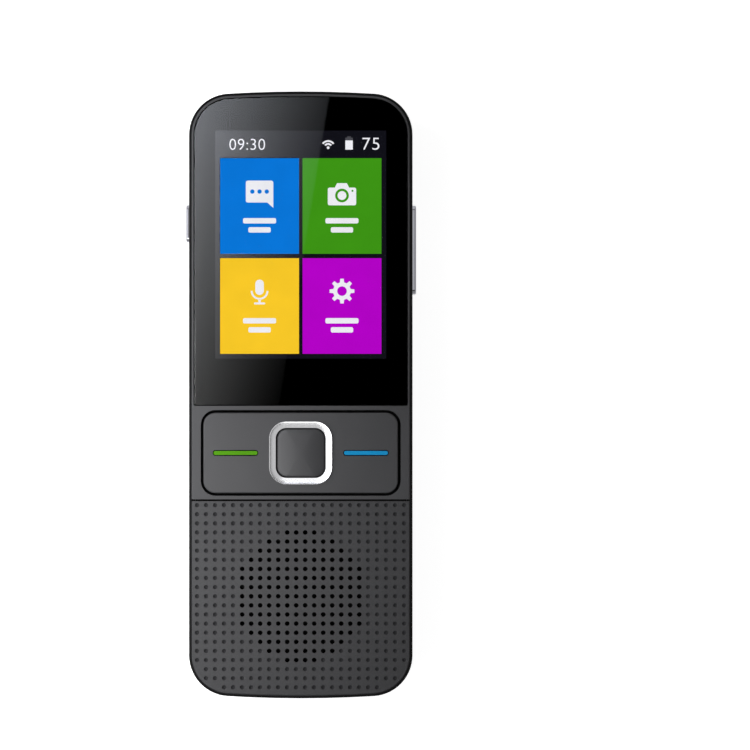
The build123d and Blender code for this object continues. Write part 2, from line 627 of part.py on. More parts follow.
def front_cover():
    plate = slab(outline(COVER_INSET), PLATE_Z, FRONT_Z)
    plate = fillet(plate.edges().group_by(Axis.Z)[-1], COVER_EDGE_ROUND)
    plate -= slab(glass_face(GLASS_INSET - GLASS_GAP), PLATE_Z, FRONT_Z)
    plate -= band(-BODY_LENGTH, PANEL_SPLIT_Y)
    plate -= slab(rounded(KEY_OPENING_LENGTH, KEY_OPENING_HEIGHT, KEY_OPENING_RADIUS), PLATE_Z, FRONT_Z)
    ledge = slab(outline(INSIDE), LEDGE_Z, PLATE_Z) & band(KEY_Y + KEY_WELL_HALF, BODY_LENGTH)
    ledge -= slab(lcd_window(LCD_GAP), LEDGE_Z, PLATE_Z)
    tail = LCD_FLEX_WIDTH / 2 + RUN_GAP
    tail_end = LCD_BOTTOM_Y - LCD_FLEX_REACH - 2 * FLEX_THICKNESS
    ledge -= block(-tail, tail, tail_end, LCD_BOTTOM_Y, LEDGE_Z, LEDGE_Z + 2 * FLEX_THICKNESS)
    skirt = slab(outline(INSIDE) - outline(INSIDE + SKIRT_WALL), SKIRT_Z, PLATE_Z)
    skirt -= slab(lcd_window(LCD_GAP), SKIRT_Z, PLATE_Z)
    subplate = slab(outline(INSIDE), SUBPLATE_Z, PANEL_Z) & band(-BODY_LENGTH, KEY_Y - KEY_WELL_HALF)
    subplate -= disc(0, GRILLE_Y, SPEAKER_BORE, SUBPLATE_Z, PANEL_Z)
    subplate -= disc(0, GRILLE_Y, SOUND_FIELD_RADIUS, PANEL_Z - SOUND_CHAMBER_DEPTH, PANEL_Z)
    cover = plate + ledge + skirt + subplate + pivot_walls() - pivot_notches()
    for x, y in COVER_BOSSES:
        cover += both_sides(disc(x, y, BOSS_RADIUS, BOSS_Z, SUBPLATE_Z))
        cover -= both_sides(disc(x, y, INSERT_RADIUS, BOSS_Z, BOSS_Z + INSERT_LENGTH))
    return cover - socket_opening()


def pivot_wall_spans():
    """Near and far faces of the walls above and below the key that carry its pivot pins."""
    for side in (-1, 1):
        near = KEY_Y + side * KEY_WELL_HALF
        yield near, near + side * PIVOT_WALL


def pivot_walls():
    half = RING_OUTER / 2
    walls = [block(-half, half, near, far, RETAINER_TOP, PLATE_Z) for near, far in pivot_wall_spans()]
    return Part() + walls


def pivot_notches():
    """Round-topped notches for the pivot pins, open to the back."""
    notch = PIVOT_RADIUS + FIT_GAP
    cuts = Part()
    for near, far in pivot_wall_spans():
        cuts += rod_y(notch, near, far, 0, PIVOT_Z)
        cuts += block(-notch, notch, near, far, RETAINER_TOP, PIVOT_Z)
    return cuts


def grille_places():
    """Every hole or dimple on the grille's grid, as (x, y, open)."""
    half_columns = math.ceil(SIDE_X / HOLE_PITCH_X)
    half_rows = math.ceil((PANEL_TOP_Y + TOP_Y) / HOLE_PITCH_Y)
    for column in range(-half_columns, half_columns):
        x = (column + 0.5) * HOLE_PITCH_X
        for row in range(-half_rows, half_rows + 1):
            along = row * HOLE_PITCH_Y
            is_open = math.hypot(x, along) + SOUND_HOLE_RADIUS <= SOUND_FIELD_RADIUS
            yield x, GRILLE_Y + along, is_open


def on_panel(x, y):
    """Whether a dimple at a point lies wholly on the grille panel, clear of its rounded edge."""
    corner_x = abs(x) - CORNER_X
    corner_y = -y - CORNER_Y
    if corner_x > 0 and corner_y > 0:
        return math.hypot(corner_x, corner_y) <= CORNER_RADIUS - DIMPLE_SIDE_MARGIN
    inside = abs(x) <= SIDE_X - DIMPLE_SIDE_MARGIN and -y <= TOP_Y - DIMPLE_SIDE_MARGIN
    return inside and y <= PANEL_TOP_Y - DIMPLE_TOP_MARGIN


def grille_panel():
    panel = slab(outline(COVER_INSET), PANEL_Z, FRONT_Z)
    panel = fillet(panel.edges().group_by(Axis.Z)[-1], COVER_EDGE_ROUND)
    panel -= band(PANEL_TOP_Y, BODY_LENGTH)
    holes = []
    dimples = []
    for x, y, is_open in grille_places():
        if is_open:
            holes.append(Pos(x, y) * Circle(SOUND_HOLE_RADIUS))
        elif on_panel(x, y):
            dimples.append(Pos(x, y, FRONT_Z + DIMPLE_BALL - DIMPLE_DEPTH) * Sphere(DIMPLE_BALL))
    panel -= slab(Sketch() + holes, PANEL_Z, FRONT_Z)
    return panel - dimples


def rear_housing():
    hollow = rear_form(REAR_WALL)
    upper = band(SEAM_Y, BODY_LENGTH)
    housing = (rear_form(0) - hollow) & upper
    housing += hollow & band(SEAM_Y, SEAM_WALL_Y)
    housing += slab(outline(INSIDE), FRAME_BOTTOM, FLOOR_TOP) & band(SEAM_Y, SEAM_WALL_Y)
    housing += slab(outline(INSIDE), FLOOR_Z, FLOOR_TOP) & band(-BODY_LENGTH, SEAM_WALL_Y)
    collar = outline(INSIDE) - outline(INSIDE + COLLAR_WALL)
    housing += slab(collar, FRAME_BOTTOM - COLLAR_DROP, FLOOR_TOP) & upper
    housing += hooks() + brackets() + board_posts() + volume_fulcrum()
    housing += camera_boss()
    housing -= camera_openings()
    housing -= tongue(2 * RUN_GAP)
    for x, y in screw_places():
        housing -= disc(x, y, SCREW_HOLE_RADIUS, FRAME_BOTTOM, FLOOR_TOP)
    return housing - contact_block(FIT_GAP, FRAME_BOTTOM)


def camera_boss():
    """The round boss for the camera window, with a conical flank."""
    flare = CAMERA_BOSS_RADIUS + CAMERA_BOSS_FLARE
    boss = Pos(0, CAMERA_Y, BACK_Z / 2) * Cone(CAMERA_BOSS_RADIUS, flare, BACK_Z)
    return boss + disc(0, CAMERA_Y, flare, BACK_Z, HOUSING_INNER_Z)


def camera_openings():
    """The camera window's seat in the boss, and the holes for the lens and the flash."""
    seat = disc(0, CAMERA_Y, CAMERA_WINDOW_RADIUS + FIT_GAP, 0, WINDOW_TOP)
    lens = disc(LENS_X, CAMERA_Y, LENS_RADIUS + RUN_GAP, 0, HOUSING_INNER_Z)
    flash = disc(FLASH_X, CAMERA_Y, FLASH_RADIUS + RUN_GAP, 0, HOUSING_INNER_Z)
    return seat + lens + flash


def hooks():
    """L-shaped hooks that hold the battery cover's lips and guide the battery, and the battery's stop."""
    made = Part()
    for y in HOOK_PLACES:
        low, high = y - HOOK_LENGTH / 2, y + HOOK_LENGTH / 2
        made += block(HOOK_X, HOOK_X + HOOK_WALL, low, high, HOOK_Z, FLOOR_TOP)
        made += block(HOOK_X, HOOK_TIP_X, low, high, HOOK_Z, HOOK_TOP)
    stop_y = BATTERY_END_Y - HOOK_BATTERY_GAP
    made += block(0, BATTERY_STOP_WIDTH / 2, stop_y - HOOK_WALL, stop_y, BATTERY_MID_Z, FLOOR_TOP)
    return both_sides(made)


def brackets():
    """Upright ribs behind the side keys, which carry their flexible circuits."""
    made = Part()
    collar_x = SIDE_X - INSIDE - COLLAR_WALL / 2
    for side, y, length in side_keys():
        half = length / 2 + SIDE_KEY_OVERHANG
        root, face = side * (BRACKET_X - BRACKET_WALL), side * BRACKET_X
        made += block(root, face, y - half, y + half, FLOOR_Z, BRACKET_TOP)
        made += block(root, side * collar_x, y - half, y + half, FLOOR_Z, FLOOR_TOP)
    return made


def volume_fulcrum(gap=0.0):
    """The half-round bar on the bracket, on which the volume key rocks."""
    reach = VOLUME_FLANGE_X - FIT_GAP / 2 - BRACKET_X
    bar = Pos(BRACKET_X, VOLUME_KEY_Y, SIDE_KEY_Z) * Cylinder(reach + gap, SIDE_KEY_HEIGHT + 2 * gap)
    return bar & block(BRACKET_X - BRACKET_WALL / 2, SIDE_X, -BODY_LENGTH, BODY_LENGTH, 0, FRONT_Z)


def board_posts():
    post_x, post_y = SIDE_X - POST_FROM_SIDE, BOARD_TOP_Y - POST_FROM_BOARD_TOP
    posts = disc(post_x, post_y, POST_RADIUS, BACK_Z + REAR_WALL / 2, BOARD_Z)
    for y in STANDOFF_Y:
        posts += disc(SIDE_X - STANDOFF_FROM_SIDE, y, POST_RADIUS, FLOOR_Z, BOARD_Z)
    return both_sides(posts)


def tongue(gap):
    """The cover's tongue, which tucks under the rear housing's edge, or the slot it goes in."""
    half = TONGUE_HALF + gap
    low = TONGUE_Z if gap == 0 else HOUSING_INNER_Z
    top = TONGUE_Z + TONGUE_THICKNESS + gap
    return block(-half, half, COVER_EDGE_Y - SEAM_GAP, SEAM_Y + TONGUE_LENGTH + gap, low, top)


def battery_cover():
    keep = band(-BODY_LENGTH, COVER_EDGE_Y, 0, COVER_RIM_Z)
    cover = (rear_form(0) - rear_form(COVER_WALL)) & keep
    lip_x = HOOK_TIP_X - COVER_LIP_OVERLAP
    lip = block(lip_x, SIDE_X, COVER_LIP_FROM_END - TOP_Y, COVER_EDGE_Y, LIP_Z, LIP_TOP)
    cover += both_sides(lip & rear_form(COVER_WALL / 2))
    skin = BACK_Z + COVER_WALL / 2
    root, top = COVER_EDGE_Y - TONGUE_ROOT, TONGUE_Z + TONGUE_THICKNESS
    cover += block(-TONGUE_HALF, TONGUE_HALF, root, COVER_EDGE_Y, skin, top)
    rib_x = COVER_RIB_X - COVER_RIB_WIDTH / 2
    rib_low, rib_high = BATTERY_END_Y + COVER_RIB_FROM_END, BATTERY_TOP_Y - COVER_RIB_FROM_END
    rib = block(rib_x, rib_x + COVER_RIB_WIDTH, rib_low, rib_high, skin, BATTERY_Z - RUN_GAP)
    return cover + both_sides(rib) + tongue(0)


# ================================================================ display
def screen_window():
    return Pos(0, SCREEN_Y) * Rectangle(SCREEN_WIDTH, SCREEN_LENGTH)


def display_glass():
    glass = slab(glass_face(GLASS_INSET), GLASS_Z, GLASS_TOP_Z)
    return chamfer(glass.edges().group_by(Axis.Z)[-1], GLASS_EDGE)


def border_print():
    return slab(glass_face(GLASS_INSET + FIT_GAP) - screen_window(), INK_Z, GLASS_Z)


def glass_gasket():
    return slab(glass_face(GLASS_INSET + FIT_GAP) - lcd_window(LCD_GAP), PLATE_Z, INK_Z)


def lcd_cell():
    return slab(lcd_window(0), CELL_Z, CELL_TOP)


def backlight_tray():
    half = LCD_WIDTH / 2
    return block(-half, half, LCD_BOTTOM_Y + LCD_TAIL_STEP, LCD_TOP_Y, TRAY_Z, CELL_Z)


def lcd_flex():
    """The display's flexible tail: bonded under the panel's bare end and folded back to the board."""
    high = CELL_Z - FLEX_THICKNESS / 2
    low = TRAY_Z - FLEX_THICKNESS
    start = LCD_BOTTOM_Y + LCD_TAIL_STEP - 2 * FLEX_THICKNESS
    bend = LCD_BOTTOM_Y - LCD_FLEX_REACH
    end = LCD_SOCKET_Y + LCD_SOCKET_DEPTH / 2
    route = [(0, start, high), (0, bend, high), (0, bend, low), (0, end, low)]
    line = FilletPolyline(*route, radius=[LCD_FLEX_BEND, LCD_FLEX_BEND])
    across = Plane(origin=line @ 0, x_dir=(1, 0, 0), z_dir=line % 0)
    return sweep(across * Rectangle(LCD_FLEX_WIDTH, FLEX_THICKNESS), path=line)


# ================================================================ keys
def pivot_pins():
    pins = Part()
    for side in (-1, 1):
        root = KEY_Y + side * (FLANGE_HEIGHT / 2 - PIVOT_LENGTH)
        tip = KEY_Y + side * (FLANGE_HEIGHT / 2 + PIVOT_LENGTH)
        pins += rod_y(PIVOT_RADIUS, root, tip, 0, PIVOT_Z)
    return pins


def bar_face(x, gap):
    return Pos(x, KEY_Y) * capsule(LIGHT_BAR_LENGTH + 2 * gap, LIGHT_BAR_HEIGHT + 2 * gap)


def pad_pocket():
    """The hollow under the right half of the key plate, where a silicone pad sits."""
    inner = RING_OUTER / 2 + KEY_WALL
    outer = KEY_LENGTH / 2 - KEY_WALL
    half = KEY_HEIGHT / 2 - KEY_WALL
    return block(inner, outer, KEY_Y - half, KEY_Y + half, FLANGE_Z, KEY_TOP - KEY_SKIN)


def key_plate():
    """The tilting key: a plate with a flange under the cover, pivot pins and a hole for the select key."""
    plate = slab(rounded(KEY_LENGTH, KEY_HEIGHT, KEY_RADIUS), FLANGE_Z, KEY_TOP)
    plate = fillet(plate.edges().group_by(Axis.Z)[-1], KEY_EDGE_ROUND)
    flange = rounded(FLANGE_LENGTH, FLANGE_HEIGHT, KEY_OPENING_RADIUS + KEY_FLANGE)
    plate += slab(flange, FLANGE_Z, FLANGE_TOP) + pivot_pins()
    plate -= both_sides(pad_pocket())
    plate -= slab(rounded(RING_INNER, RING_INNER, RING_INNER_RADIUS), FLANGE_Z, KEY_TOP)
    plate -= slab(rounded(RING_OUTER, RING_OUTER, RING_RADIUS), RING_Z, KEY_TOP)
    clear = SELECT_FLANGE_SIZE + 4 * RUN_GAP
    plate -= slab(rounded(clear, clear, SELECT_RADIUS), FLANGE_Z, SELECT_FLANGE_TOP + 2 * RUN_GAP)
    for x in (-LIGHT_BAR_X, LIGHT_BAR_X):
        plate -= slab(bar_face(x, LIGHT_BAR_SLOT), KEY_TOP - LIGHT_BAR_DEPTH, KEY_TOP)
        plate -= slab(bar_face(x, 0), KEY_TOP - KEY_SKIN, KEY_TOP)
    return plate


def light_bar(x):
    """A coloured light guide that stands on the pad under the key plate."""
    return slab(bar_face(x, 0), KEY_TOP - KEY_SKIN, KEY_TOP - FIT_GAP)


def key_pads():
    """The two silicone pads under the key plate, each with the plunger that presses its dome."""
    tilt_drop = KEY_TILT * (DOME_X + PLUNGER_RADIUS)
    tip = DOME_TOP_Z + tilt_drop + FIT_GAP / 2
    return both_sides(pad_pocket() + disc(DOME_X, KEY_Y, PLUNGER_RADIUS, tip, FLANGE_Z))


def key_ring():
    """The bright ring round the select key, bevelled on both sides of its top."""
    outer = rounded(RING_OUTER, RING_OUTER, RING_RADIUS)
    inner = rounded(RING_INNER, RING_INNER, RING_INNER_RADIUS)
    wide = RING_INNER + 2 * RING_BEVEL
    ring = chamfer(slab(outer, RING_Z, RING_TOP).edges().group_by(Axis.Z)[-1], RING_BEVEL)
    flare = loft([
        Pos(0, 0, RING_TOP - RING_BEVEL) * inner,
        Pos(0, 0, RING_TOP) * rounded(wide, wide, RING_INNER_RADIUS + RING_BEVEL),
    ])
    return ring - slab(inner, RING_Z, RING_TOP) - flare


def select_key():
    cap = slab(rounded(SELECT_SIZE, SELECT_SIZE, SELECT_RADIUS), SELECT_FLANGE_Z, KEY_TOP)
    cap = fillet(cap.edges().group_by(Axis.Z)[-1], KEY_EDGE_ROUND)
    flange = rounded(SELECT_FLANGE_SIZE, SELECT_FLANGE_SIZE, SELECT_RADIUS)
    return cap + slab(flange, SELECT_FLANGE_Z, SELECT_FLANGE_TOP) - select_pad_core()


def select_pad_core():
    face = rounded(SELECT_PAD_SIZE, SELECT_PAD_SIZE, PAD_CORNER)
    return slab(face, SELECT_FLANGE_Z, KEY_TOP - KEY_SKIN)


def select_pad():
    tip = DOME_TOP_Z + SELECT_TRAVEL + FIT_GAP / 2
    return select_pad_core() + disc(0, KEY_Y, PLUNGER_RADIUS, tip, SELECT_FLANGE_Z)


def key_retainer():
    """The plate that closes the keys from behind, with a saddle under each pivot pin."""
    half = FLANGE_LENGTH / 2
    reach = KEY_WELL_HALF + PIVOT_WALL
    plate = block(-half, half, KEY_Y - reach, KEY_Y + reach, RETAINER_Z, RETAINER_TOP)
    for x in (-DOME_X, 0, DOME_X):
        plate -= slab(rounded(RETAINER_WINDOW, RETAINER_WINDOW, PAD_CORNER, x), RETAINER_Z, RETAINER_TOP)
    for near, far in pivot_wall_spans():
        plate += block(-PIVOT_RADIUS, PIVOT_RADIUS, near, far, RETAINER_Z, PIVOT_Z - PIVOT_RADIUS - FIT_GAP)
    return plate


def dome_sheet():
    length = 2 * (DOME_X + DOME_RADIUS + PAD_CORNER)
    height = 2 * (DOME_RADIUS + PAD_CORNER)
    return slab(rounded(length, height, PAD_CORNER), BOARD_TOP_Z, DOME_BASE_Z)


def snap_dome(radius, height):
    """A shallow sheet-metal dome, standing on its rim at the origin."""
    ball = (radius**2 + height**2) / (2 * height)
    shell = Sphere(ball) - Sphere(ball - DOME_METAL)
    return Pos(0, 0, height - ball) * shell & disc(0, 0, 2 * radius, 0, height)


def key_domes():
    dome = snap_dome(DOME_RADIUS, DOME_HEIGHT)
    return Compound(children=[Pos(x, KEY_Y, DOME_BASE_Z) * dome for x in (-DOME_X, 0, DOME_X)])


# ================================================================ side keys
def side_key(y, length, play):
    """A side key on the right: a rounded cap that stands through the frame, and a flange behind the wall."""
    flange_x = WALL_X - play
    cap = Pos(flange_x, y, SIDE_KEY_Z) * extrude(
        Plane.YZ * capsule(length, SIDE_KEY_HEIGHT), SIDE_X + SIDE_KEY_PROUD - flange_x
    )
    cap = fillet(cap.edges().group_by(Axis.X)[-1], SIDE_KEY_ROUND)
    half = length / 2 + SIDE_KEY_OVERHANG
    low = SIDE_KEY_Z - SIDE_FLANGE_HEIGHT / 2
    return cap + block(
        flange_x - SIDE_FLANGE_THICKNESS, flange_x, y - half, y + half, low, low + SIDE_FLANGE_HEIGHT
    )


def side_nub(y, play, travel):
    """The nub on a side key's flange that presses a dome."""
    start = SIDE_DOME_TOP_X + travel + FIT_GAP / 2
    end = WALL_X - play
    return Pos((start + end) / 2, y, SIDE_KEY_Z) * Cylinder(SIDE_NUB_RADIUS, end - start, rotation=(0, 90, 0))


def power_button():
    key = side_key(POWER_KEY_Y, POWER_KEY_LENGTH, POWER_KEY_PLAY)
    return mirrored(key + side_nub(POWER_KEY_Y, POWER_KEY_PLAY, SIDE_KEY_TRAVEL))


def volume_dome_places():
    return (VOLUME_KEY_Y - VOLUME_DOME_OFFSET, VOLUME_KEY_Y + VOLUME_DOME_OFFSET)


def volume_button():
    key = side_key(VOLUME_KEY_Y, VOLUME_KEY_LENGTH, VOLUME_KEY_PLAY)
    for y in volume_dome_places():
        key += side_nub(y, VOLUME_KEY_PLAY, VOLUME_NUB_TRAVEL)
    return key


def side_flex(y, length):
    """The strip of flexible circuit on a bracket on the right, with a tail over the bracket's top."""
    half = length / 2 - RUN_GAP
    tail = SIDE_TAIL_WIDTH / 2
    top = BRACKET_TOP + FLEX_THICKNESS
    inner = BRACKET_X - BRACKET_WALL - BOARD_SIDE_GAP - SIDE_CONNECTOR
    strip = block(BRACKET_X, BRACKET_X + FLEX_THICKNESS, y - half, y + half, FLOOR_TOP + RUN_GAP, top)
    return strip + block(inner, BRACKET_X, y - tail, y + tail, BRACKET_TOP, top)


def side_dome(y):
    dome = Rot(0, 90, 0) * snap_dome(SIDE_DOME_RADIUS, SIDE_DOME_HEIGHT)
    return Pos(BRACKET_X + FLEX_THICKNESS, y, SIDE_KEY_Z) * dome


def side_domes():
    domes = [side_dome(y) for y in volume_dome_places()]
    return Compound(children=[mirrored(side_dome(POWER_KEY_Y)), *domes])


# ================================================================ electronics
def main_board():
    length = BOARD_TOP_Y - BOARD_BOTTOM_Y
    face = rounded(BOARD_WIDTH, length, BOARD_RADIUS, 0, (BOARD_TOP_Y + BOARD_BOTTOM_Y) / 2)
    board = slab(face, BOARD_Z, BOARD_TOP_Z)
    return board - both_sides(disc(LUG_X, LUG_Y, LUG_RADIUS + 2 * RUN_GAP, BOARD_Z, BOARD_TOP_Z))


def on_board(width, length, height, x, y):
    """A flat component on the front of the main board."""
    left, near = x - width / 2, y - length / 2
    return block(left, left + width, near, near + length, BOARD_TOP_Z, BOARD_TOP_Z + height)


def shield_can():
    can = on_board(SHIELD_WIDTH, SHIELD_LENGTH, SHIELD_HEIGHT, 0, SHIELD_Y)
    inner_width, inner_length = SHIELD_WIDTH - 2 * SHIELD_WALL, SHIELD_LENGTH - 2 * SHIELD_WALL
    return can - on_board(inner_width, inner_length, SHIELD_HEIGHT - SHIELD_WALL, 0, SHIELD_Y)


def processor_chip():
    return on_board(PROCESSOR_SIZE, PROCESSOR_SIZE, CHIP_HEIGHT, 0, SHIELD_Y + SHIELD_LENGTH / 4)


def memory_chip():
    return on_board(MEMORY_WIDTH, MEMORY_LENGTH, CHIP_HEIGHT, 0, SHIELD_Y - SHIELD_LENGTH / 4)


def radio_module():
    return on_board(RADIO_WIDTH, RADIO_LENGTH, SHIELD_HEIGHT, RADIO_FROM_MIDDLE + RADIO_WIDTH / 2, RADIO_Y)


def board_parts():
    """Small surface-mount parts beside the shield and the radio: coils, capacitors and a crystal."""
    beside = SHIELD_WIDTH / 2 + SMALL_PART_FROM_SHIELD
    columns = (-beside - SMALL_PART_PITCH_X / 2, -beside + SMALL_PART_PITCH_X / 2, beside)
    made = []
    for row in range(SMALL_PART_ROWS):
        y = LUG_Y + LUG_RADIUS + SMALL_PART_FROM_LUG + SMALL_PART_PITCH_Y * row
        for x in columns:
            made.append(on_board(SMALL_PART_WIDTH, SMALL_PART_LENGTH, SMALL_PART_HEIGHT, x, y))
    made.append(on_board(COIL_SIZE, COIL_SIZE, SHIELD_HEIGHT, COIL_X, RADIO_Y))
    made.append(on_board(CRYSTAL_WIDTH, CRYSTAL_LENGTH, SMALL_PART_HEIGHT, CRYSTAL_X, RADIO_Y))
    return Compound(children=made)


def board_connectors():
    """The sockets for the display's tail, the side keys' tails and the link cable."""
    width = LCD_FLEX_WIDTH + 2 * LCD_SOCKET_WALL
    height = TRAY_Z - 1.5 * FLEX_THICKNESS - BOARD_TOP_Z
    display = on_board(width, LCD_SOCKET_DEPTH, height, 0, LCD_SOCKET_Y)
    x = BOARD_WIDTH / 2 - SIDE_CONNECTOR / 2
    height = BRACKET_TOP - BOARD_TOP_Z
    power = on_board(SIDE_CONNECTOR, SIDE_TAIL_WIDTH, height, -x, POWER_KEY_Y)
    volume = on_board(SIDE_CONNECTOR, SIDE_TAIL_WIDTH, height, x, VOLUME_KEY_Y)
    left, right = LINK_X - LINK_WIDTH, LINK_X + LINK_WIDTH
    link = block(left, right, LINK_SOCKET_Y, LINK_END_Y, FLOOR_TOP + FLEX_THICKNESS, BOARD_Z)
    return Compound(children=[display, power, volume, link])


def lower_board():
    half = LOWER_BOARD_WIDTH / 2
    return block(-half, half, LOWER_BOARD_BOTTOM_Y, LOWER_BOARD_TOP_Y, LOWER_BOARD_Z, LOWER_BOARD_TOP_Z)


def link_flex():
    """The flat cable on the floor, past the speaker, from the lower board to the main board."""
    half = LINK_WIDTH / 2
    top = FLOOR_TOP + FLEX_THICKNESS
    inner = LOWER_BOARD_WIDTH / 2 - LINK_WIDTH
    turn_y = COVER_BOSSES[1][1] + BOSS_RADIUS + 2 * RUN_GAP
    start_y = LOWER_BOARD_TOP_Y - LINK_OVERLAP
    run = block(LINK_X - half, LINK_X + half, turn_y, LINK_END_Y, FLOOR_TOP, top)
    jog = block(inner - half, LINK_X + half, turn_y, turn_y + LINK_WIDTH, FLOOR_TOP, top)
    return run + jog + block(inner - half, inner + half, start_y, turn_y + half, FLOOR_TOP, top)


def charge_socket():
    """The socket's metal shell, open towards -Y."""
    place = Pos(0, SOCKET_FACE_Y, SOCKET_MID_Z)
    shell = place * extrude(socket_mouth(0), -SOCKET_DEPTH)
    return shell - place * extrude(socket_mouth(-SOCKET_WALL), SOCKET_BACK - SOCKET_DEPTH)


def socket_tongue():
    """The contact tongue, on the moulded block that fills the back of the shell."""
    front = SOCKET_FACE_Y + TONGUE_FROM_MOUTH
    back = SOCKET_FACE_Y + SOCKET_DEPTH - SOCKET_BACK
    low = SOCKET_MID_Z + FIT_GAP
    half = CONTACT_TONGUE_WIDTH / 2
    base_half = SOCKET_WIDTH / 2 - SOCKET_WALL - SOCKET_CHAMFER
    base_low = SOCKET_MID_Z - SOCKET_HEIGHT / 2 + SOCKET_WALL + FIT_GAP
    top = low + CONTACT_TONGUE_THICKNESS
    blade = block(-half, half, front, back, low, top)
    return blade + block(-base_half, base_half, back - CONTACT_TONGUE_BASE, back, base_low, top)


def microphone_block(y0, y1):
    half = MICROPHONE_SIZE / 2
    z = LOWER_BOARD_TOP_Z
    return block(MICROPHONE_X - half, MICROPHONE_X + half, y0, y1, z, z + MICROPHONE_HEIGHT)


def microphone():
    front = LOWER_BOARD_BOTTOM_Y + MICROPHONE_SETBACK
    return microphone_block(front, front + MICROPHONE_SIZE)


def microphone_boot():
    """A rubber boot that seals the microphone to its hole in the frame."""
    front = LOWER_BOARD_BOTTOM_Y - MICROPHONE_BOOT_REACH
    back = LOWER_BOARD_BOTTOM_Y + MICROPHONE_SETBACK
    channel = rod_y(MICROPHONE_HOLE_RADIUS, front, back, MICROPHONE_X, MICROPHONE_Z)
    return microphone_block(front, back) - channel


def antenna():
    """A flexible aerial stuck to the inside of the rear housing's flat back."""
    half = ANTENNA_WIDTH / 2
    top = HOUSING_INNER_Z + FLEX_THICKNESS
    return block(-half, half, ANTENNA_Y, ANTENNA_Y + ANTENNA_LENGTH, HOUSING_INNER_Z, top)


def antenna_spring():
    """A sheet-metal spring clip from the aerial up to the board."""
    low = HOUSING_INNER_Z + FLEX_THICKNESS
    metal = ANTENNA_SPRING_METAL
    y = ANTENNA_Y + ANTENNA_LENGTH - ANTENNA_SPRING_WIDTH
    spring = block(0, metal, y, y + ANTENNA_SPRING_WIDTH, low, BOARD_Z)
    for z in (low, BOARD_Z - metal):
        spring += block(-ANTENNA_SPRING_FOOT, metal, y, y + ANTENNA_SPRING_WIDTH, z, z + metal)
    return spring


# ================================================================ battery
def battery_slice(y0, y1):
    half = BATTERY_WIDTH / 2
    body = block(-half, half, y0, y1, BATTERY_Z, FLOOR_Z)
    return fillet(body.edges().filter_by(Axis.Y), BATTERY_ROUND)


def battery_pack():
    return battery_slice(BATTERY_END_Y, BATTERY_TOP_Y - BATTERY_CAP)


def battery_cap():
    return battery_slice(BATTERY_TOP_Y - BATTERY_CAP, BATTERY_TOP_Y) - [terminal(x) for x in TERMINAL_X]


def terminal(x):
    half = TERMINAL_WIDTH / 2
    low, high = BATTERY_MID_Z - TERMINAL_HEIGHT / 2, BATTERY_MID_Z + TERMINAL_HEIGHT / 2
    return block(x - half, x + half, BATTERY_TOP_Y - TERMINAL_DEPTH, BATTERY_TOP_Y, low, high)


def battery_terminals():
    return Compound(children=[terminal(x) for x in TERMINAL_X])


def contact_block(gap=0.0, low=CONTACT_BLOCK_Z):
    """The moulded block on the main board that carries the battery contacts, or its opening."""
    half = CONTACT_BLOCK_WIDTH / 2 + gap
    front = BATTERY_TOP_Y + CONTACT_REACH
    return block(-half, half, front - gap, front + CONTACT_BLOCK_DEPTH + gap, low, BOARD_Z)


def battery_contacts():
    """Three leaf springs between the contact block and the battery's terminals."""
    half = CONTACT_WIDTH / 2
    low = BATTERY_MID_Z - CONTACT_THICKNESS / 2
    return Compound(children=[
        block(x - half, x + half, BATTERY_TOP_Y, BATTERY_TOP_Y + CONTACT_REACH, low, low + CONTACT_THICKNESS)
        for x in TERMINAL_X
    ])


# ================================================================ speaker
def speaker_ring(outer, inner, z0, z1):
    return disc(0, GRILLE_Y, outer, z0, z1) - disc(0, GRILLE_Y, inner, z0, z1)


def speaker_basket():
    """The speaker's frame: a shallow cup, with a round seat for the magnet in its floor."""
    wall = speaker_ring(SPEAKER_RADIUS, SPEAKER_BORE, SPEAKER_Z, SPEAKER_TOP)
    return wall + speaker_ring(SPEAKER_RADIUS, MAGNET_RADIUS + FIT_GAP, SPEAKER_Z, SPEAKER_Z + SPEAKER_WALL)


def speaker_magnet():
    return disc(0, GRILLE_Y, MAGNET_RADIUS, SPEAKER_Z, SPEAKER_Z + MAGNET_HEIGHT)


def speaker_coil():
    """The voice coil, which hangs from the diaphragm over the magnet."""
    return speaker_ring(COIL_RADIUS, COIL_RADIUS - COIL_WALL, SPEAKER_Z + MAGNET_HEIGHT, CONE_Z)


def speaker_diaphragm():
    """Dome, cone and surround in one thin formed sheet."""
    edge = SPEAKER_BORE - FIT_GAP
    rim = CONE_TOP - CONE_THICKNESS
    lower = [
        (0, CONE_Z + CONE_DOME),
        (COIL_RADIUS - COIL_WALL, CONE_Z),
        (COIL_RADIUS + FIT_GAP, CONE_Z),
        (edge - CONE_SURROUND, rim),
        (edge, rim),
    ]
    upper = [(r, z + CONE_THICKNESS) for r, z in reversed(lower)]
    profile = make_face(Polyline(*lower, *upper, close=True))
    return Pos(0, GRILLE_Y, 0) * revolve(Plane.XZ * profile, Axis.Z)


def speaker_gasket():
    return speaker_ring(SPEAKER_RADIUS, SPEAKER_RADIUS - GASKET_WIDTH, SPEAKER_TOP, SUBPLATE_Z)


def speaker_mesh():
    """A dust screen stuck under the grille's open holes."""
    return disc(0, GRILLE_Y, SOUND_FIELD_RADIUS - FIT_GAP, PANEL_Z - MESH_THICKNESS, PANEL_Z)


# ================================================================ camera
def camera_window():
    plate = disc(0, CAMERA_Y, CAMERA_WINDOW_RADIUS, CAMERA_WINDOW_SUNK, WINDOW_TOP)
    plate -= disc(LENS_X, CAMERA_Y, LENS_RADIUS, CAMERA_WINDOW_SUNK, WINDOW_TOP)
    return plate - disc(FLASH_X, CAMERA_Y, FLASH_RADIUS, CAMERA_WINDOW_SUNK, WINDOW_TOP)


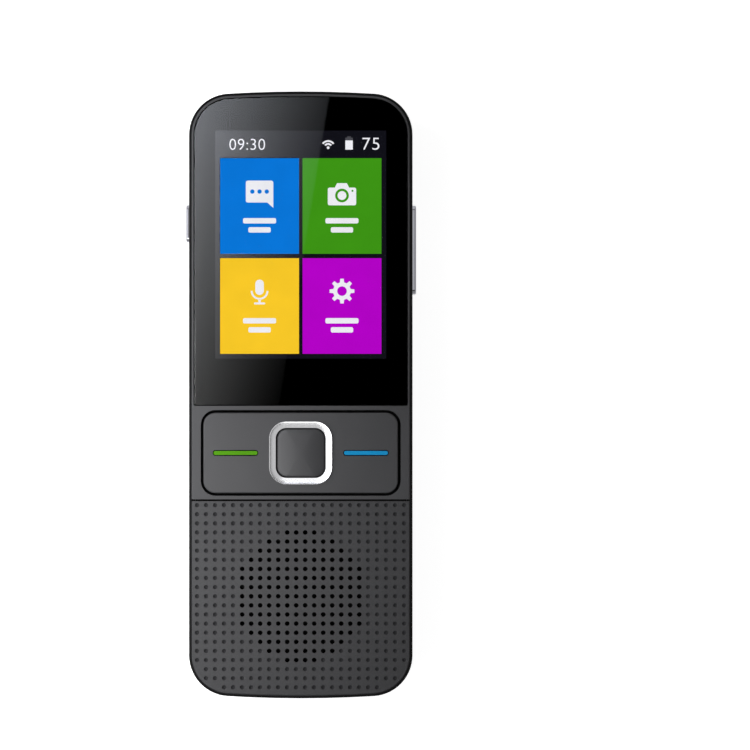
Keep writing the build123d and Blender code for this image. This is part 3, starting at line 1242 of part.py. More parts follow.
def lens_ring():
    """The grey stop round the camera's pupil, set in the window."""
    ring = disc(LENS_X, CAMERA_Y, LENS_RADIUS - FIT_GAP, LENS_SUNK, WINDOW_TOP)
    return ring - disc(LENS_X, CAMERA_Y, LENS_PUPIL_RADIUS, LENS_SUNK, WINDOW_TOP)


def camera_lens():
    """The front lens element, between the stop and the camera's barrel."""
    return disc(LENS_X, CAMERA_Y, LENS_RADIUS - FIT_GAP, WINDOW_TOP, CAMERA_BARREL_Z)


def camera_module():
    half = CAMERA_BODY / 2
    body = block(
        CAMERA_X - half, CAMERA_X + half, CAMERA_Y - half, CAMERA_Y + half, CAMERA_BODY_Z, CAMERA_BODY_TOP
    )
    return body + disc(LENS_X, CAMERA_Y, CAMERA_BARREL_RADIUS, CAMERA_BARREL_Z, CAMERA_BODY_Z)


def flash_lens():
    return disc(FLASH_X, CAMERA_Y, FLASH_RADIUS - FIT_GAP, LENS_SUNK, HOUSING_INNER_Z)


def flash_led():
    """The LED on its small riser board, with the riser's leg up to the main board."""
    half = LED_SIZE / 2
    base = HOUSING_INNER_Z + LED_HEIGHT
    led = block(FLASH_X - half, FLASH_X + half, CAMERA_Y - half, CAMERA_Y + half, HOUSING_INNER_Z, base)
    leg_x = FLASH_X - 2 * half
    low, high = CAMERA_Y - LED_BOARD_HALF, CAMERA_Y + LED_BOARD_HALF
    led += block(leg_x, FLASH_X + half, low, high, base, base + LED_BOARD)
    return led + block(leg_x, leg_x + 2 * LED_BOARD, low, high, base, BOARD_Z)


# ================================================================ fasteners
def screw(x, y):
    """A pan-head machine screw whose head seats on the rear face of the floor."""
    head = disc(x, y, SCREW_HEAD_RADIUS, FLOOR_Z - SCREW_HEAD, FLOOR_Z)
    head = fillet(head.edges().group_by(Axis.Z)[0], SCREW_HEAD_ROUND)
    drive = Pos(x, y, FLOOR_Z - SCREW_HEAD) * extrude(RegularPolygon(DRIVE_RADIUS, 6), DRIVE_DEPTH)
    return head + disc(x, y, SCREW_RADIUS, FLOOR_Z, FLOOR_Z + SCREW_LENGTH) - drive


def screw_insert(x, y):
    insert = disc(x, y, INSERT_RADIUS, BOSS_Z, BOSS_Z + INSERT_LENGTH)
    return insert - disc(x, y, SCREW_RADIUS + FIT_GAP / 2, BOSS_Z, BOSS_Z + INSERT_LENGTH)


def at_screw_places(fastener):
    return Compound(children=[fastener(x, y) for x, y in screw_places()])


# ================================================================ the assembly
def pieces():
    """Every sub-part by name."""
    return {
        "side_frame": side_frame(),
        "front_cover": front_cover(),
        "grille_panel": grille_panel(),
        "rear_housing": rear_housing(),
        "battery_cover": battery_cover(),
        "housing_screws": at_screw_places(screw),
        "screw_inserts": at_screw_places(screw_insert),
        "display_glass": display_glass(),
        "border_print": border_print(),
        "glass_gasket": glass_gasket(),
        "lcd_cell": lcd_cell(),
        "backlight_tray": backlight_tray(),
        "lcd_flex": lcd_flex(),
        "key_plate": key_plate(),
        "green_light_bar": light_bar(-LIGHT_BAR_X),
        "blue_light_bar": light_bar(LIGHT_BAR_X),
        "key_ring": key_ring(),
        "key_pads": key_pads(),
        "select_key": select_key(),
        "select_pad": select_pad(),
        "key_retainer": key_retainer(),
        "dome_sheet": dome_sheet(),
        "key_domes": key_domes(),
        "power_button": power_button(),
        "volume_button": volume_button(),
        "power_flex": mirrored(side_flex(POWER_KEY_Y, POWER_KEY_LENGTH)),
        "volume_flex": side_flex(VOLUME_KEY_Y, VOLUME_KEY_LENGTH) - volume_fulcrum(FIT_GAP),
        "side_domes": side_domes(),
        "main_board": main_board(),
        "shield_can": shield_can(),
        "processor_chip": processor_chip(),
        "memory_chip": memory_chip(),
        "radio_module": radio_module(),
        "board_parts": board_parts(),
        "board_connectors": board_connectors(),
        "lower_board": lower_board(),
        "link_flex": link_flex(),
        "charge_socket": charge_socket(),
        "socket_tongue": socket_tongue(),
        "microphone": microphone(),
        "microphone_boot": microphone_boot(),
        "antenna": antenna(),
        "antenna_spring": antenna_spring(),
        "battery_pack": battery_pack(),
        "battery_cap": battery_cap(),
        "battery_terminals": battery_terminals(),
        "contact_block": contact_block(),
        "battery_contacts": battery_contacts(),
        "speaker_basket": speaker_basket(),
        "speaker_magnet": speaker_magnet(),
        "speaker_coil": speaker_coil(),
        "speaker_diaphragm": speaker_diaphragm(),
        "speaker_gasket": speaker_gasket(),
        "speaker_mesh": speaker_mesh(),
        "camera_window": camera_window(),
        "lens_ring": lens_ring(),
        "camera_lens": camera_lens(),
        "camera_module": camera_module(),
        "flash_lens": flash_lens(),
        "flash_led": flash_led(),
    }


os.makedirs("parts", exist_ok=True)
for name, shape in pieces().items():
    export_step(shape, f"parts/{name}.step")
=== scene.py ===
import math

import bpy
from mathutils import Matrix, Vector


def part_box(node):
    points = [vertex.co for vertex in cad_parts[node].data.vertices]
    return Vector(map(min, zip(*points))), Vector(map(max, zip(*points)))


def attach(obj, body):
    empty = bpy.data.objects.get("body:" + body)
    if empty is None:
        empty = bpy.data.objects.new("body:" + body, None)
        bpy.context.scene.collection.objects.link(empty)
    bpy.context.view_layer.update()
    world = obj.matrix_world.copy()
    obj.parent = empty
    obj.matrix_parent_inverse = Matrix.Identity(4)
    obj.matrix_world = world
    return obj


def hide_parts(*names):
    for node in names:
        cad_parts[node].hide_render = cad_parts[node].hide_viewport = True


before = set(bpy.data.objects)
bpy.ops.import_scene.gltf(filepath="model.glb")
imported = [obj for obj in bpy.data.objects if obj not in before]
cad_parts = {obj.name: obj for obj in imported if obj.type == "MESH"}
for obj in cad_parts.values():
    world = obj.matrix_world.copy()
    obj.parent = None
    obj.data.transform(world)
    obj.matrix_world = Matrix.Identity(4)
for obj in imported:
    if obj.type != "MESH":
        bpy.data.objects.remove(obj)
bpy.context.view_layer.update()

# --------------------------------------
# Studio: a camera far above the display with a long lens, and the unit lying on its back.
# The picture is 160.9 mm wide at the height of the front cover's face.
MM = 0.001
AIM = Vector((15.94, 4.27)) * MM
PICTURE_WIDTH = 160.9 * MM
LENS = 200.0
SENSOR = 36.0
NEAREST_SEEN = 10.0 * MM


def into_scene(name, data):
    """A new object in the scene, which holds a mesh, a curve, a lamp or a camera."""
    holder = bpy.data.objects.new(name, data)
    bpy.context.scene.collection.objects.link(holder)
    return holder


front_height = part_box("front_cover")[1].z
camera_distance = PICTURE_WIDTH * LENS / SENSOR
camera = into_scene("camera", bpy.data.cameras.new("camera"))
camera.data.lens = LENS
camera.data.sensor_width = SENSOR
camera.data.clip_start = NEAREST_SEEN
camera.location = (AIM.x, AIM.y, front_height + camera_distance)
bpy.context.scene.camera = camera
bpy.context.scene.view_settings.view_transform = "Standard"


# --------------------------------------
# Studio: the white surround. The world is a pale tent, open and dark straight overhead, so that flat
# glass reads as black from above, while slopes and edges mirror the tent's sides. Its upper left side,
# where the light comes in, is the brighter one.
WHITE = (1, 1, 1, 1)
TENT_SOFT = 0.15          # what the tent gives to matt surfaces
TENT_DIM = 0.62           # what shiny surfaces mirror of its far side
TENT_BRIGHT = 1.2         # and of its bright one
TENT_DARK_FROM = 0.90     # height of direction at which the dark opening starts to fade in
TENT_DARK_TO = 0.975
BRIGHT_TOWARDS = 137.0    # compass of the bright side's middle, in degrees from +X
BRIGHT_FROM = 0.26        # cosine of its half width, where it starts to fade in
BRIGHT_TO = 0.44
JUST_OVER_ONE = 1.0001    # keeps a direction's share along the floor above zero


def add(tree, kind, **settings):
    """A new node with some of its settings."""
    node = tree.nodes.new(kind)
    for name, value in settings.items():
        setattr(node, name, value)
    return node


def wire(tree, source, target):
    """Joins an output to an input."""
    tree.links.new(source, target)


def feed(tree, node, values):
    """Feeds a node's first inputs with numbers or other outputs, and returns its first output."""
    for place, value in enumerate(values):
        if isinstance(value, (int, float)):
            node.inputs[place].default_value = value
        else:
            wire(tree, value, node.inputs[place])
    return node.outputs[0]


def maths(tree, operation, *values):
    """A maths node on sockets or numbers."""
    return feed(tree, add(tree, "ShaderNodeMath", operation=operation), values)


def remap(tree, value, low, high, to_low, to_high, smooth=False):
    """A value taken from one range to another, and held at its ends."""
    node = add(tree, "ShaderNodeMapRange", interpolation_type="SMOOTHSTEP" if smooth else "LINEAR")
    wire(tree, value, node.inputs["Value"])
    for name, number in (("From Min", low), ("From Max", high), ("To Min", to_low), ("To Max", to_high)):
        node.inputs[name].default_value = number
    return node.outputs["Result"]


def place_in(tree, source="Object"):
    """The X, Y and Z of a place on the object, or of a direction in the tent."""
    split = add(tree, "ShaderNodeSeparateXYZ")
    wire(tree, add(tree, "ShaderNodeTexCoord").outputs[source], split.inputs[0])
    return split.outputs


world = bpy.data.worlds.new("tent")
bpy.context.scene.world = world
world.use_nodes = True
tent = world.node_tree
background = tent.nodes["Background"]
background.inputs["Color"].default_value = WHITE
towards = place_in(tent, "Generated")
east = maths(tent, "MULTIPLY", towards["X"], math.cos(math.radians(BRIGHT_TOWARDS)))
north = maths(tent, "MULTIPLY", towards["Y"], math.sin(math.radians(BRIGHT_TOWARDS)))
level = maths(tent, "SUBTRACT", JUST_OVER_ONE, maths(tent, "POWER", towards["Z"], 2.0))
level = maths(tent, "SQRT", level)
facing = maths(tent, "DIVIDE", maths(tent, "ADD", east, north), level)
sides = remap(tent, facing, BRIGHT_FROM, BRIGHT_TO, TENT_DIM, TENT_BRIGHT, smooth=True)
roof = remap(tent, towards["Z"], TENT_DARK_FROM, TENT_DARK_TO, 1.0, 0.0, smooth=True)
rays = add(tent, "ShaderNodeLightPath").outputs
mirrored = maths(tent, "MAXIMUM", rays["Is Glossy Ray"], rays["Is Transmission Ray"])
glossy_part = maths(tent, "MULTIPLY", mirrored, maths(tent, "MULTIPLY", sides, roof))
soft_part = maths(tent, "MULTIPLY", rays["Is Diffuse Ray"], TENT_SOFT)
strength = maths(tent, "MAXIMUM", rays["Is Camera Ray"], maths(tent, "ADD", glossy_part, soft_part))
wire(tent, strength, background.inputs["Strength"])


# --------------------------------------
# Studio: a white floor under the unit. It shines by itself where the camera or a mirror sees it, so
# it stays white in the open and keeps a faint shadow beside the unit.
FLOOR_REACH = 2.5         # in metres
FLOOR_BELOW = 0.05 * MM
FLOOR_COLOUR = (0.86, 0.86, 0.86, 1)
FLOOR_GLOW = 0.86


def corners(left, right, low, high):
    """A rectangle's corners, counter-clockwise."""
    return [(left, low), (right, low), (right, high), (left, high)]


def new_material(name):
    """A material with a shader of its own."""
    made = bpy.data.materials.new(name)
    made.use_nodes = True
    return made


def shader_of(tree, **sockets):
    """A material's shader, with some of its sockets set by name."""
    shader = tree.nodes["Principled BSDF"]
    for socket, value in sockets.items():
        shader.inputs[socket.replace("_", " ")].default_value = value
    return shader


def mesh_piece(name, points, faces, material):
    """An object with a mesh of these points and faces."""
    mesh = bpy.data.meshes.new(name)
    mesh.from_pydata(points, [], faces)
    mesh.materials.append(material)
    return into_scene(name, mesh)


floor_paint = new_material("white_floor")
tree = floor_paint.node_tree
shader = shader_of(
    tree, Base_Color=FLOOR_COLOUR, Roughness=0.9, Specular_IOR_Level=0.1, Emission_Color=WHITE,
)
rays = add(tree, "ShaderNodeLightPath").outputs
seen = maths(tree, "MAXIMUM", rays["Is Camera Ray"], rays["Is Glossy Ray"])
seen = maths(tree, "MAXIMUM", seen, rays["Is Transmission Ray"])
wire(tree, maths(tree, "MULTIPLY", seen, FLOOR_GLOW), shader.inputs["Emission Strength"])
floor_corners = [
    (x, y, -FLOOR_BELOW) for x, y in corners(-FLOOR_REACH, FLOOR_REACH, -FLOOR_REACH, FLOOR_REACH)
]
floor = mesh_piece("floor", floor_corners, [(0, 1, 2, 3)], floor_paint)


# --------------------------------------
# Studio: a long soft box close to the unit's left side, which shades the front from left to right, a
# large lamp high on the left, and a weak one beyond the lower right corner.
def soft_lamp(name, place, length, height, watts):
    """A flat lamp, aimed at the unit's middle, with its length level. It lights, but neither the camera
    nor a shiny surface sees the lamp itself. Places and sizes are in millimetres."""
    lamp = bpy.data.lights.new(name, "AREA")
    lamp.shape = "RECTANGLE"
    lamp.size = length * MM
    lamp.size_y = height * MM
    lamp.energy = watts
    holder = into_scene(name, lamp)
    holder.location = Vector(place) * MM
    holder.rotation_euler = holder.location.to_track_quat("Z", "Y").to_euler()
    holder.visible_camera = False
    holder.visible_glossy = False
    holder.visible_transmission = False


soft_lamp("soft_box", place=(-72, 0, 58), length=240, height=40, watts=0.15)
soft_lamp("left_lamp", place=(-200, 90, 300), length=180, height=180, watts=0.10)
soft_lamp("lower_lamp", place=(150, -190, 270), length=150, height=150, watts=0.06)

# --------------------------------------
# Studio: a reflector card over the unit, which only shiny surfaces mirror. Its upper part is cut on a
# slant and gives the display glass its streak. Its lower part and its left wing fade to the right, and
# lay a soft sheen over the satin front. Its places are those on the front that mirror them.
CARD_HEIGHT = 250.0 * MM
CARD_LEFT = -120.0
CARD_RIGHT = 27.0
CARD_REACH = 74.0
CARD_SPLIT = -3.0         # the two parts meet at this place along the unit
SLANT_AT_SPLIT = -4.86    # where the slanted edge crosses that place
SLANT = 0.163             # how far it leans to the right for each millimetre up
SLANT_BLUR = 0.25
STREAK_TONE = 0.003       # tone of the streak in the glass at the split, at the unit's middle line
TONE_ACROSS = -0.0103     # change of that tone for each millimetre to the right
TONE_ALONG = 0.00307      # and for each millimetre up
TONE_CURVE = 2.2          # turns a tone into light
GLASS_MIRRORS = 0.034     # share of the card's light that the glass sends back
CARD_THROUGH = 0.35       # share of the card that the glass's lower face sends back over the picture
GLASS_EDGE = -22.6        # left of it the card is a wing that the glass doesn't mirror
SHEEN = 5.5               # strength of the wing, and of the lower part's left end
SHEEN_FADE = (-25.0, 14.0)
COOL_TINT = (0.955, 1.0, 1.10, 1)   # of the streak at its upper end

enlarged = 1 + CARD_HEIGHT / camera_distance


def above(x, y, drop):
    """The place on the card that the front mirrors at a place of its own, or this far below the card."""
    over_x = AIM.x + (x * MM - AIM.x) * enlarged
    over_y = AIM.y + (y * MM - AIM.y) * enlarged
    return over_x, over_y, front_height + CARD_HEIGHT - drop * MM


def mirrored_only(name, outline, drop=0.0):
    """A flat card that is seen in shiny surfaces alone. Returns its material's tree."""
    material = new_material(name)
    card = mesh_piece(name, [above(x, y, drop) for x, y in outline], [(0, 3, 2, 1)], material)
    card.visible_camera = False
    card.visible_diffuse = False
    card.visible_shadow = False
    return material.node_tree


def between(tree, share, first, second):
    """A colour mixed from two by a share. A Mix node has its colours at inputs 6 and 7."""
    node = add(tree, "ShaderNodeMix", data_type="RGBA")
    node.inputs[6].default_value = first
    node.inputs[7].default_value = second
    wire(tree, share, node.inputs[0])
    return node.outputs[2]


tree = mirrored_only("reflector", corners(CARD_LEFT, CARD_RIGHT, -CARD_REACH, CARD_REACH))
tree.nodes.remove(shader_of(tree))
glow = add(tree, "ShaderNodeEmission")
wire(tree, glow.outputs[0], tree.nodes["Material Output"].inputs["Surface"])
place = place_in(tree)
scale = 1 / MM / enlarged
shift = (1 - 1 / enlarged) / MM
across = maths(tree, "ADD", maths(tree, "MULTIPLY", place["X"], scale), AIM.x * shift)
along = maths(tree, "ADD", maths(tree, "MULTIPLY", place["Y"], scale), AIM.y * shift)
above_split = maths(tree, "SUBTRACT", along, CARD_SPLIT)
edge = maths(tree, "ADD", maths(tree, "MULTIPLY", above_split, SLANT), SLANT_AT_SPLIT)
lit_side = remap(tree, maths(tree, "SUBTRACT", across, edge), -SLANT_BLUR, SLANT_BLUR, 1.0, 0.0)
tone = maths(tree, "ADD", maths(tree, "MULTIPLY", across, TONE_ACROSS), STREAK_TONE)
tone = maths(tree, "ADD", maths(tree, "MULTIPLY", above_split, TONE_ALONG), tone)
tone = maths(tree, "POWER", maths(tree, "MAXIMUM", tone, 0.0), TONE_CURVE)
streak = maths(tree, "MULTIPLY", maths(tree, "MULTIPLY", tone, 1 / GLASS_MIRRORS), lit_side)
sheen = remap(tree, across, *SHEEN_FADE, SHEEN, 0.0)
is_streak = maths(tree, "GREATER_THAN", above_split, 0.0)
is_streak = maths(tree, "MULTIPLY", is_streak, maths(tree, "GREATER_THAN", across, GLASS_EDGE))
streak = maths(tree, "MULTIPLY", streak, is_streak)
sheen = maths(tree, "MULTIPLY", sheen, maths(tree, "SUBTRACT", 1.0, is_streak))
through = add(tree, "ShaderNodeLightPath").outputs["Is Transmission Ray"]
veil = remap(tree, through, 0.0, 1.0, 1.0, CARD_THROUGH)
wire(tree, maths(tree, "MULTIPLY", maths(tree, "ADD", streak, sheen), veil), glow.inputs["Strength"])
up_the_streak = remap(tree, above_split, 0.0, CARD_REACH, 0.0, 1.0)
wire(tree, between(tree, up_the_streak, WHITE, COOL_TINT), glow.inputs["Color"])


# --------------------------------------
# Rear housing and battery cover: moulded shells in charcoal plastic with a blue tint and a soft-touch
# lacquer. The cover's lips slide in hooks on the housing, and both share one curved back.
REAR_COLOUR = 0x21262F
SOFT_TOUCH = 0.42
LACQUER_GRAIN = 0.12      # size of the lacquer's fine orange peel, in millimetres
NOISE_SPAN = (0.3, 0.7)   # range that most of a noise pattern keeps to


def as_light(colour):
    """A colour written as screen red, green and blue, as the shader's own linear numbers."""
    parts = [(colour >> bits & 255) / 255 for bits in (16, 8, 0)]
    return (*[part / 12.92 if part <= 0.04045 else ((part + 0.055) / 1.055) ** 2.4 for part in parts], 1)


def finish_of(name, colour, roughness, **sockets):
    """A new material whose shader has this colour and roughness, and other sockets by name."""
    made = new_material(name)
    shader_of(made.node_tree, Base_Color=as_light(colour), Roughness=roughness, **sockets)
    return made


def noise_in(tree, size, stretch=(1, 1, 1), detail=2.0):
    """Noise whose features are about this many millimetres across, drawn out along an axis if asked."""
    mapping = add(tree, "ShaderNodeMapping")
    mapping.inputs["Scale"].default_value = [1 / (MM * size * s) for s in stretch]
    wire(tree, add(tree, "ShaderNodeTexCoord").outputs["Object"], mapping.inputs["Vector"])
    node = add(tree, "ShaderNodeTexNoise")
    node.inputs["Scale"].default_value = 1.0
    node.inputs["Detail"].default_value = detail
    wire(tree, mapping.outputs[0], node.inputs["Vector"])
    return node.outputs["Fac"]


def grain(material, size, depth, stretch=(1, 1, 1)):
    """A fine relief of a given size and depth, in millimetres."""
    tree = material.node_tree
    relief = add(tree, "ShaderNodeBump")
    relief.inputs["Distance"].default_value = depth * MM
    wire(tree, noise_in(tree, size, stretch), relief.inputs["Height"])
    wire(tree, relief.outputs["Normal"], shader_of(tree).inputs["Normal"])


def mottle(material, size, amount, stretch=(1, 1, 1), detail=3.0):
    """Makes the colour lighter and darker in soft patches, by a share of itself."""
    tree = material.node_tree
    colour = shader_of(tree).inputs["Base Color"]
    dark, light = [
        (*[part * share for part in colour.default_value[:3]], 1) for share in (1 - amount, 1 + amount)
    ]
    wire(tree, between(tree, noise_in(tree, size, stretch, detail), dark, light), colour)


def wear(material, size, low, high, stretch=(1, 1, 1)):
    """Makes the roughness wander between two values."""
    tree = material.node_tree
    patches = remap(tree, noise_in(tree, size, stretch), *NOISE_SPAN, low, high)
    wire(tree, patches, shader_of(tree).inputs["Roughness"])


def dress(material, *names):
    """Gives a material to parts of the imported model."""
    for name in names:
        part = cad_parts[name]
        if not part.material_slots:
            part.data.materials.append(material)
        for slot in part.material_slots:
            slot.material = material


rear_plastic = finish_of(
    "soft_touch_charcoal", REAR_COLOUR, SOFT_TOUCH, Coat_Weight=0.15, Coat_Roughness=0.35,
)
mottle(rear_plastic, 9.0, 0.06)
wear(rear_plastic, 14.0, SOFT_TOUCH - 0.04, SOFT_TOUCH + 0.05)
grain(rear_plastic, LACQUER_GRAIN, 0.004)
dress(rear_plastic, "rear_housing", "battery_cover")

# --------------------------------------
# Side frame: one moulded ring of black plastic that closes the sides, with a satin skin. It has windows
# for the side keys, the charging socket and the microphone, and two lugs that are screwed from behind.
FRAME_COLOUR = 0x070708
FRAME_SATIN = 0.38

frame_plastic = finish_of("satin_black", FRAME_COLOUR, FRAME_SATIN, Specular_IOR_Level=0.1)
mottle(frame_plastic, 6.0, 0.12)
wear(frame_plastic, 11.0, FRAME_SATIN - 0.05, FRAME_SATIN + 0.06)
grain(frame_plastic, 0.1, 0.003)
dress(frame_plastic, "side_frame")

# --------------------------------------
# Front cover: the frame round the glass and the language key, moulded in black plastic and painted a
# dark gunmetal grey on its face alone. Four bosses on its back take screws through the rear housing.
FRONT_COLOUR = 0x404042
FRONT_SATIN = 0.32
PAINT_DEPTH = 0.12        # how far down an edge the paint is whole
UNPAINTED = 0.02          # share of the colour that is left below the paint


def sunk(material, low, high, share):
    """Darkens the colour to a share of itself and takes the shine away, from one height down to another,
    in millimetres. It marks where paint ends, and paints shade into dimples and holes."""
    tree = material.node_tree
    colour = shader_of(tree).inputs["Base Color"]
    rough = shader_of(tree).inputs["Roughness"]
    height = place_in(tree)["Z"]
    darker = add(tree, "ShaderNodeVectorMath", operation="SCALE")
    wire(tree, colour.links[0].from_socket, darker.inputs[0])
    wire(tree, remap(tree, height, low * MM, high * MM, share, 1.0), darker.inputs["Scale"])
    wire(tree, darker.outputs[0], colour)
    before = rough.links[0].from_socket if rough.is_linked else rough.default_value
    matt = remap(tree, height, low * MM, high * MM, 1.0, 0.0)
    wire(tree, maths(tree, "MAXIMUM", matt, before), rough)


front_paint = finish_of("gunmetal_paint", FRONT_COLOUR, FRONT_SATIN, Specular_IOR_Level=0.3)
mottle(front_paint, 0.3, 0.05)
wear(front_paint, 12.0, FRONT_SATIN - 0.03, FRONT_SATIN + 0.04)
grain(front_paint, 0.14, 0.0015)
face = front_height / MM
sunk(front_paint, face - 2 * PAINT_DEPTH, face - PAINT_DEPTH, UNPAINTED)
dress(front_paint, "front_cover")

# --------------------------------------
# Grille panel: a separate moulding below the key, with rows of small dimples. In a round field in its
# middle they go right through. The tool that moulds it is spark-eroded, which leaves a fine speckle.
PANEL_COLOUR = 0x363638
PANEL_SATIN = 0.35
SPARK_SIZE = 0.3
SPARK_DEPTH = 0.010
DIMPLE_DEPTH = 0.2
DIMPLE_FADE = (0.08, 0.005)   # how far down a dimple its painted shade is full, and starts
DIMPLE_PAINTED_SHADE = 0.7
HOLE_FADE = (0.15, 0.02)      # the same for an open hole, below the dimples' floor
HOLE_PAINTED_SHADE = 0.04             # share of the colour that is left inside an open hole, as painted shade

grille_plastic = finish_of("sparked_grille", PANEL_COLOUR, PANEL_SATIN, Specular_IOR_Level=0.3)
mottle(grille_plastic, SPARK_SIZE, 0.30, detail=4.0)
grain(grille_plastic, SPARK_SIZE, SPARK_DEPTH)
# Painted shade: the colour darkens down each dimple, and further down each open hole, in place of the shade
# that falls there.
sunk(grille_plastic, *[face - depth for depth in DIMPLE_FADE], DIMPLE_PAINTED_SHADE)
sunk(grille_plastic, *[face - DIMPLE_DEPTH - depth for depth in HOLE_FADE], HOLE_PAINTED_SHADE)
dress(grille_plastic, "grille_panel")

# --------------------------------------
# Dust screen: a woven black cloth of fine threads, stuck under the open holes of the grille. Threads
# run both ways across a round patch, each as long as the patch is at its place.
THREAD_MARGIN = 0.12      # bare edge left round the patch
THREAD_PITCH = 0.2


def plain_mesh(holder):
    """The mesh that an object's modifiers or its curve make."""
    bpy.context.view_layer.update()
    return bpy.data.meshes.new_from_object(holder.evaluated_get(bpy.context.evaluated_depsgraph_get()))


def set_input(modifier, name, value):
    """Sets a tree's named input on the modifier that runs it."""
    sockets = modifier.node_group.interface.items_tree
    socket = next(s for s in sockets if s.name == name and s.in_out == "INPUT")
    modifier[socket.identifier] = value


def baked(name, tree, values):
    """Runs a geometry tree once and returns a plain mesh object with the result."""
    piece = into_scene(name, bpy.data.meshes.new(name))
    modifier = piece.modifiers.new("tree", "NODES")
    modifier.node_group = tree
    for input_name, value in values.items():
        set_input(modifier, input_name, value)
    result = plain_mesh(piece)
    piece.modifiers.clear()
    piece.data = result
    return piece


def geometry_tree(name, inputs):
    """An empty geometry tree with named inputs and one geometry output."""
    tree = bpy.data.node_groups.new(name, "GeometryNodeTree")
    for input_name, kind in inputs.items():
        tree.interface.new_socket(input_name, in_out="INPUT", socket_type=kind)
    tree.interface.new_socket("Geometry", in_out="OUTPUT", socket_type="NodeSocketGeometry")
    return tree, tree.nodes.new("NodeGroupInput").outputs, tree.nodes.new("NodeGroupOutput")


def vector(tree, *parts):
    """Joins sockets or numbers into a vector."""
    return feed(tree, add(tree, "ShaderNodeCombineXYZ"), parts)


weave_inputs = {
    "Radius": "NodeSocketFloat",
    "Pitch": "NodeSocketFloat",
    "Thread": "NodeSocketFloat",
    "Place": "NodeSocketVector",
    "Cloth": "NodeSocketMaterial",
}
weave, given, made = geometry_tree("dust_screen_weave", weave_inputs)
across = maths(weave, "MULTIPLY", given["Radius"], 2.0)
thread_count = maths(weave, "FLOOR", maths(weave, "DIVIDE", across, given["Pitch"]))
last = maths(weave, "SUBTRACT", given["Radius"], given["Pitch"])
first = maths(weave, "MULTIPLY", last, -1.0)
both_ways = add(weave, "GeometryNodeJoinGeometry")
for along_y in (False, True):
    layer = maths(weave, "MULTIPLY", given["Thread"], 0.5 if along_y else -0.5)
    ends = [(end, 0.0, layer) if along_y else (0.0, end, layer) for end in (first, last)]
    threads = add(weave, "GeometryNodeMeshLine", mode="END_POINTS")
    wire(weave, thread_count, threads.inputs["Count"])
    wire(weave, vector(weave, *ends[0]), threads.inputs["Start Location"])
    wire(weave, vector(weave, *ends[1]), threads.inputs["Offset"])
    spot = add(weave, "ShaderNodeSeparateXYZ")
    wire(weave, add(weave, "GeometryNodeInputPosition").outputs[0], spot.inputs[0])
    off = spot.outputs["X" if along_y else "Y"]
    reach = maths(weave, "POWER", given["Radius"], 2.0)
    reach = maths(weave, "SQRT", maths(weave, "SUBTRACT", reach, maths(weave, "MULTIPLY", off, off)))
    chord = maths(weave, "MULTIPLY", reach, 2.0)
    width = given["Thread"]
    size = vector(weave, width, chord, width) if along_y else vector(weave, chord, width, width)
    rod = add(weave, "GeometryNodeMeshCube")
    laid = add(weave, "GeometryNodeInstanceOnPoints")
    wire(weave, threads.outputs[0], laid.inputs["Points"])
    wire(weave, rod.outputs[0], laid.inputs["Instance"])
    wire(weave, size, laid.inputs["Scale"])
    wire(weave, laid.outputs[0], both_ways.inputs[0])
real = add(weave, "GeometryNodeRealizeInstances")
moved = add(weave, "GeometryNodeTransform")
painted = add(weave, "GeometryNodeSetMaterial")
wire(weave, both_ways.outputs[0], real.inputs[0])
wire(weave, real.outputs[0], moved.inputs["Geometry"])
wire(weave, given["Place"], moved.inputs["Translation"])
wire(weave, moved.outputs[0], painted.inputs["Geometry"])
wire(weave, given["Cloth"], painted.inputs["Material"])
wire(weave, painted.outputs[0], made.inputs[0])

screen_cloth = finish_of("black_screen_cloth", 0x040405, 1.0, Specular_IOR_Level=0.0)
mottle(screen_cloth, 0.5, 0.3)
mesh_low, mesh_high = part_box("speaker_mesh")
screen_values = {
    "Radius": (mesh_high.x - mesh_low.x) / 2 - THREAD_MARGIN * MM,
    "Pitch": THREAD_PITCH * MM,
    "Thread": (mesh_high.z - mesh_low.z) / 2,
    "Place": (mesh_low + mesh_high) / 2,
    "Cloth": screen_cloth,
}
dust_screen = baked("dust_screen", weave, screen_values)
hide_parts("speaker_mesh")
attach(dust_screen, "chassis")

# --------------------------------------
# Display glass: clear polished glass with ground edges, black ink printed on its back round the
# picture, and a die-cut foam gasket that sticks it down on the cover.
GLASS_SMEAR = 0.015

clear_glass = finish_of("display_glass", 0xFFFFFF, 0.0, Transmission_Weight=1.0, IOR=1.5)
wear(clear_glass, 18.0, 0.0, GLASS_SMEAR)
dress(clear_glass, "display_glass")

black_ink = finish_of("printed_black", 0x050506, 0.5, Specular_IOR_Level=0.2)
mottle(black_ink, 0.4, 0.3)
dress(black_ink, "border_print")

black_foam = finish_of("black_foam", 0x161616, 0.95, Specular_IOR_Level=0.2)
mottle(black_foam, 0.25, 0.4)
grain(black_foam, 0.25, 0.05)
dress(black_foam, "glass_gasket")

# --------------------------------------
# Display panel: a lit colour cell, dark between its pictures, on a white moulded tray. Its tail is a
# flexible circuit of amber film, bonded to the cell and folded back to the main board.
CELL_GLOW = 0x121219      # what the unlit parts of the picture still let through

lcd_dark = finish_of(
    "lit_panel", 0x020203, 0.05, Specular_IOR_Level=0.05,
    Emission_Color=as_light(CELL_GLOW), Emission_Strength=1.0,
)
mottle(lcd_dark, 0.15, 0.25)
dress(lcd_dark, "lcd_cell")

white_moulding = finish_of("white_moulding", 0xDADADC, 0.55)
mottle(white_moulding, 3.0, 0.05)
grain(white_moulding, 0.3, 0.006)
dress(white_moulding, "backlight_tray")

amber_film = finish_of("amber_film", 0xA3641E, 0.28, Coat_Weight=0.3)
mottle(amber_film, 0.8, 0.18, stretch=(1, 6, 1))
grain(amber_film, 0.4, 0.01, stretch=(1, 8, 1))
dress(amber_film, "lcd_flex")

